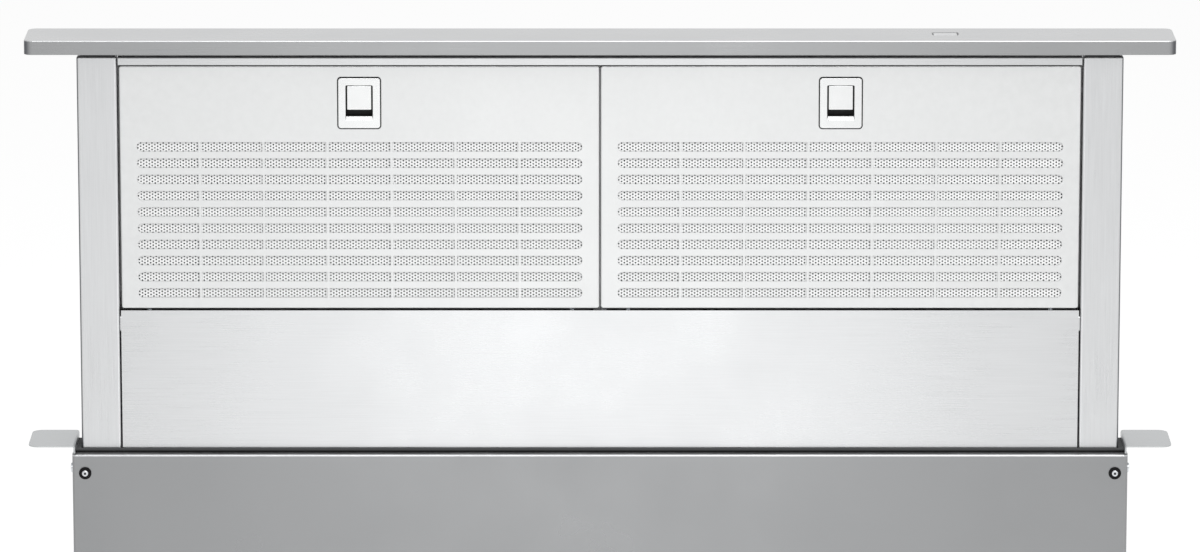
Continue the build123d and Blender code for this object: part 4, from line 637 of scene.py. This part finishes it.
# painted shade: the black lining stands for the shade inside the pocket
pocket_nylon = moulded_plastic("nylon_black_pocket_lining_painted_shade", "121213", "0c0c0d", roughness=0.6,
                               grain_mm=0.8, depth_mm=0.03)
for side in ("left", "right"):
    dress(latch_chrome, f"{side}_latch_bezel", f"{side}_latch_slider")
    low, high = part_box(f"{side}_latch_bezel")
    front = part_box(f"{side}_panel_face")[0][1]
    outer = rounded_ring(*inset(low, high, -GASKET_PROUD), GASKET_CORNER)
    inner = rounded_ring(*inset(low, high, GASKET_LAP), GASKET_INNER_CORNER)
    gasket = flat_ring(f"{side}_latch_gasket", outer, inner, front - GASKET_THICK, front + HAIR)
    gasket.data.materials.append(gasket_foam)
    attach(gasket, f"{side}_filter_panel")

    x0, x1 = low[0] + POCKET_SIDE, high[0] - POCKET_SIDE
    foot, top = low[2] + POCKET_FOOT, low[2] + POCKET_FOOT + RAMP
    wall = rounded_ring(x0 + LINING_GAP, x1 - LINING_GAP, top + LINING_FOOT,
                        high[2] - POCKET_HEAD - LINING_GAP, LINING_CORNER)
    depths = (low[1] + LINING_MOUTH, low[1] + POCKET_DEPTH - LINING_LIFT)
    lining = loft(f"{side}_latch_lining_painted_shade", [[(x, y, z) for x, z in wall] for y in depths], "last")
    lining.data.materials.append(pocket_nylon)
    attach(lining, f"{side}_filter_panel")

    profile = [(RAMP_FRONT[0], foot, 0.0), (RAMP_FRONT[1], top, RAMP_TAPER),
               (RAMP_BACK[1], top, RAMP_TAPER), (RAMP_BACK[0], foot, 0.0)]
    ends = [[(x + inward * taper, low[1] + back, z) for back, z, taper in profile]
            for x, inward in ((x0, 1), (x1, -1))]
    ramp = loft(f"{side}_latch_ramp", ends, "closed")
    ramp.data.materials.append(latch_chrome)
    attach(ramp, f"{side}_filter_panel")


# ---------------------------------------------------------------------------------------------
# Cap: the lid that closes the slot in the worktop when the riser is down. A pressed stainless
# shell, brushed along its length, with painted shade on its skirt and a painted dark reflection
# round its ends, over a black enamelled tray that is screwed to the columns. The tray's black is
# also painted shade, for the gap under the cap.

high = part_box("cap_shell")[1]
# painted shade: the skirt below the top's edge is darker than the top
cap_skirt = ("9d9e9f", ("Z", high[2], -0.3, -1.1))
# painted dark reflection: darker still where the skirt rounds the cap's ends
cap_corner = ("55565a", ("Z", high[2], -0.3, -1.1), ("X", high[0], -6.5, -0.8))
cap_steel = brushed_stainless("stainless_cap_brushed_lengthwise_painted_shade", "bfc0c1", "b7b8b9",
                              grain_mm=(70.0, 0.9, 0.9), roughness=0.3, depth_mm=0.03,
                              folds=(cap_skirt, cap_corner))
dress(cap_steel, "cap_shell")
# painted shade: the tray is enamelled black so that the gap between cap and riser shows dark, as its
# shade does
dress(motor_enamel, "cap_frame")


# ---------------------------------------------------------------------------------------------
# Push button in the cap, with its surround: moulded ABS, the button lacquered to match the steel and
# the surround lacquered dark as painted shade for the outline round the button; both set level with
# the cap's top.

FLAKE_MM = 0.5             # aluminium flakes, really far finer, drawn coarser so that they show


def metallic_lacquer(name, colour, shade, roughness):
    """Aluminium-flake lacquer on ABS: the steel's grey without its grain, with tiny soft sparkles."""
    lacquer = bare(name)
    flake = add(lacquer, "ShaderNodeTexVoronoi", {"Scale": 1000 / FLAKE_MM},
                {"Vector": place_of(lacquer)})
    each = add(lacquer, "ShaderNodeSeparateColor", {}, {"Color": flake.outputs["Color"]})
    return surface(lacquer, {"Metallic": 0.6, "Roughness": roughness, "Coat Weight": 0.4},
                   {"Base Color": blend(lacquer, shade, colour, each.outputs["Red"])})


button_lacquer = metallic_lacquer("abs_metallic_lacquer", "c4c5c6", "b4b5b7", roughness=0.35)
# painted shade: the dark surround stands for the shade line round the button
bezel_lacquer = metallic_lacquer("abs_dark_metallic_lacquer_painted_shade", "626365", "505153", roughness=0.4)
dress(button_lacquer, "switch_button")
dress(bezel_lacquer, "switch_bezel")


# ---------------------------------------------------------------------------------------------
# Studio: a white floor that keeps the vent's shadow, white all round, and soft lamps above, at the
# right and low in front, where one glows in the steel. The camera looks down a little, from far off.

FLOOR_RADIUS = 12.0
FLOOR_EDGES = 96
FLOOR_PAINT = 0.8          # how much light its paint returns
FLOOR_GLOW = 0.55          # what it adds where it is seen, so that it looks as white as the rest
AROUND = 0.50              # light that white surroundings throw on matt surfaces

edge = bmesh.new()
bmesh.ops.create_circle(edge, cap_ends=True, segments=FLOOR_EDGES, radius=FLOOR_RADIUS)
disc = bpy.data.meshes.new("studio_floor")
edge.to_mesh(disc)
edge.free()
floor = put("studio_floor", disc)


def seen(owner):
    """1 for light that the camera gets straight, from a glossy surface or through glass, else 0."""
    ray = add(owner, "ShaderNodeLightPath").outputs
    by_eye = calculate(owner, "MAXIMUM", ray["Is Camera Ray"], ray["Is Glossy Ray"])
    return calculate(owner, "MAXIMUM", by_eye, ray["Is Transmission Ray"])


floor_paint = bare("floor_matt_white_paint")
glow = calculate(floor_paint, "MULTIPLY", seen(floor_paint), FLOOR_GLOW)
matt = add(floor_paint, "ShaderNodeBsdfDiffuse",
           {"Color": (FLOOR_PAINT, FLOOR_PAINT, FLOOR_PAINT, 1.0)})
shine = add(floor_paint, "ShaderNodeEmission", {}, {"Strength": glow})
both = add(floor_paint, "ShaderNodeAddShader", {},
           {0: matt.outputs["BSDF"], 1: shine.outputs["Emission"]})
add(floor_paint, "ShaderNodeOutputMaterial", links={"Surface": both.outputs["Shader"]})
disc.materials.append(floor_paint)

studio = bpy.data.worlds.new("studio_white")
studio.use_nodes = True
studio.node_tree.nodes.clear()
level = ranged(studio, seen(studio), AROUND, 1.0)
white = add(studio, "ShaderNodeBackground", {"Color": (1.0, 1.0, 1.0, 1.0)}, {"Strength": level})
add(studio, "ShaderNodeOutputWorld", links={"Surface": white.outputs["Background"]})
bpy.context.scene.world = studio


def soft_lamp(name, place, aim, size, power):
    """A soft lamp, turned to face a point."""
    light = bpy.data.lights.new(name, "AREA")
    light.shape = "RECTANGLE"
    light.size, light.size_y = size
    light.energy = power
    lamp = put(name, light)
    lamp.location = place
    lamp.rotation_euler = (Vector(aim) - Vector(place)).to_track_quat("-Z", "Y").to_euler()


soft_lamp("lamp_front", (0.5, -1.9, 3.1), aim=(0.0, 0.1, 0.8), size=(2.4, 1.4), power=46)
soft_lamp("lamp_low", (-0.02, -1.2, 0.66), aim=(-0.02, 0.1, 0.66), size=(0.6, 0.6), power=0.84)
soft_lamp("lamp_right", (2.6, -1.6, 2.0), aim=(0.0, 0.1, 0.8), size=(1.6, 1.6), power=12)
soft_lamp("lamp_above", (0.2, 0.2, 3.4), aim=(0.0, 0.1, 1.0), size=(3.4, 2.6), power=20)

PITCH = math.radians(12.0)
DISTANCE = 6.0
AIM = Vector((0.0, 0.104, 0.927))

view = bpy.data.cameras.new("camera")
view.sensor_width = 36.0
view.lens = 225.0
view.clip_end = 60.0
camera = put("camera", view)
camera.location = AIM + DISTANCE * Vector((0.0, -math.cos(PITCH), math.sin(PITCH)))
camera.rotation_euler = (math.pi / 2 - PITCH, 0.0, 0.0)
bpy.context.scene.camera = camera
bpy.context.scene.view_settings.view_transform = "Standard"
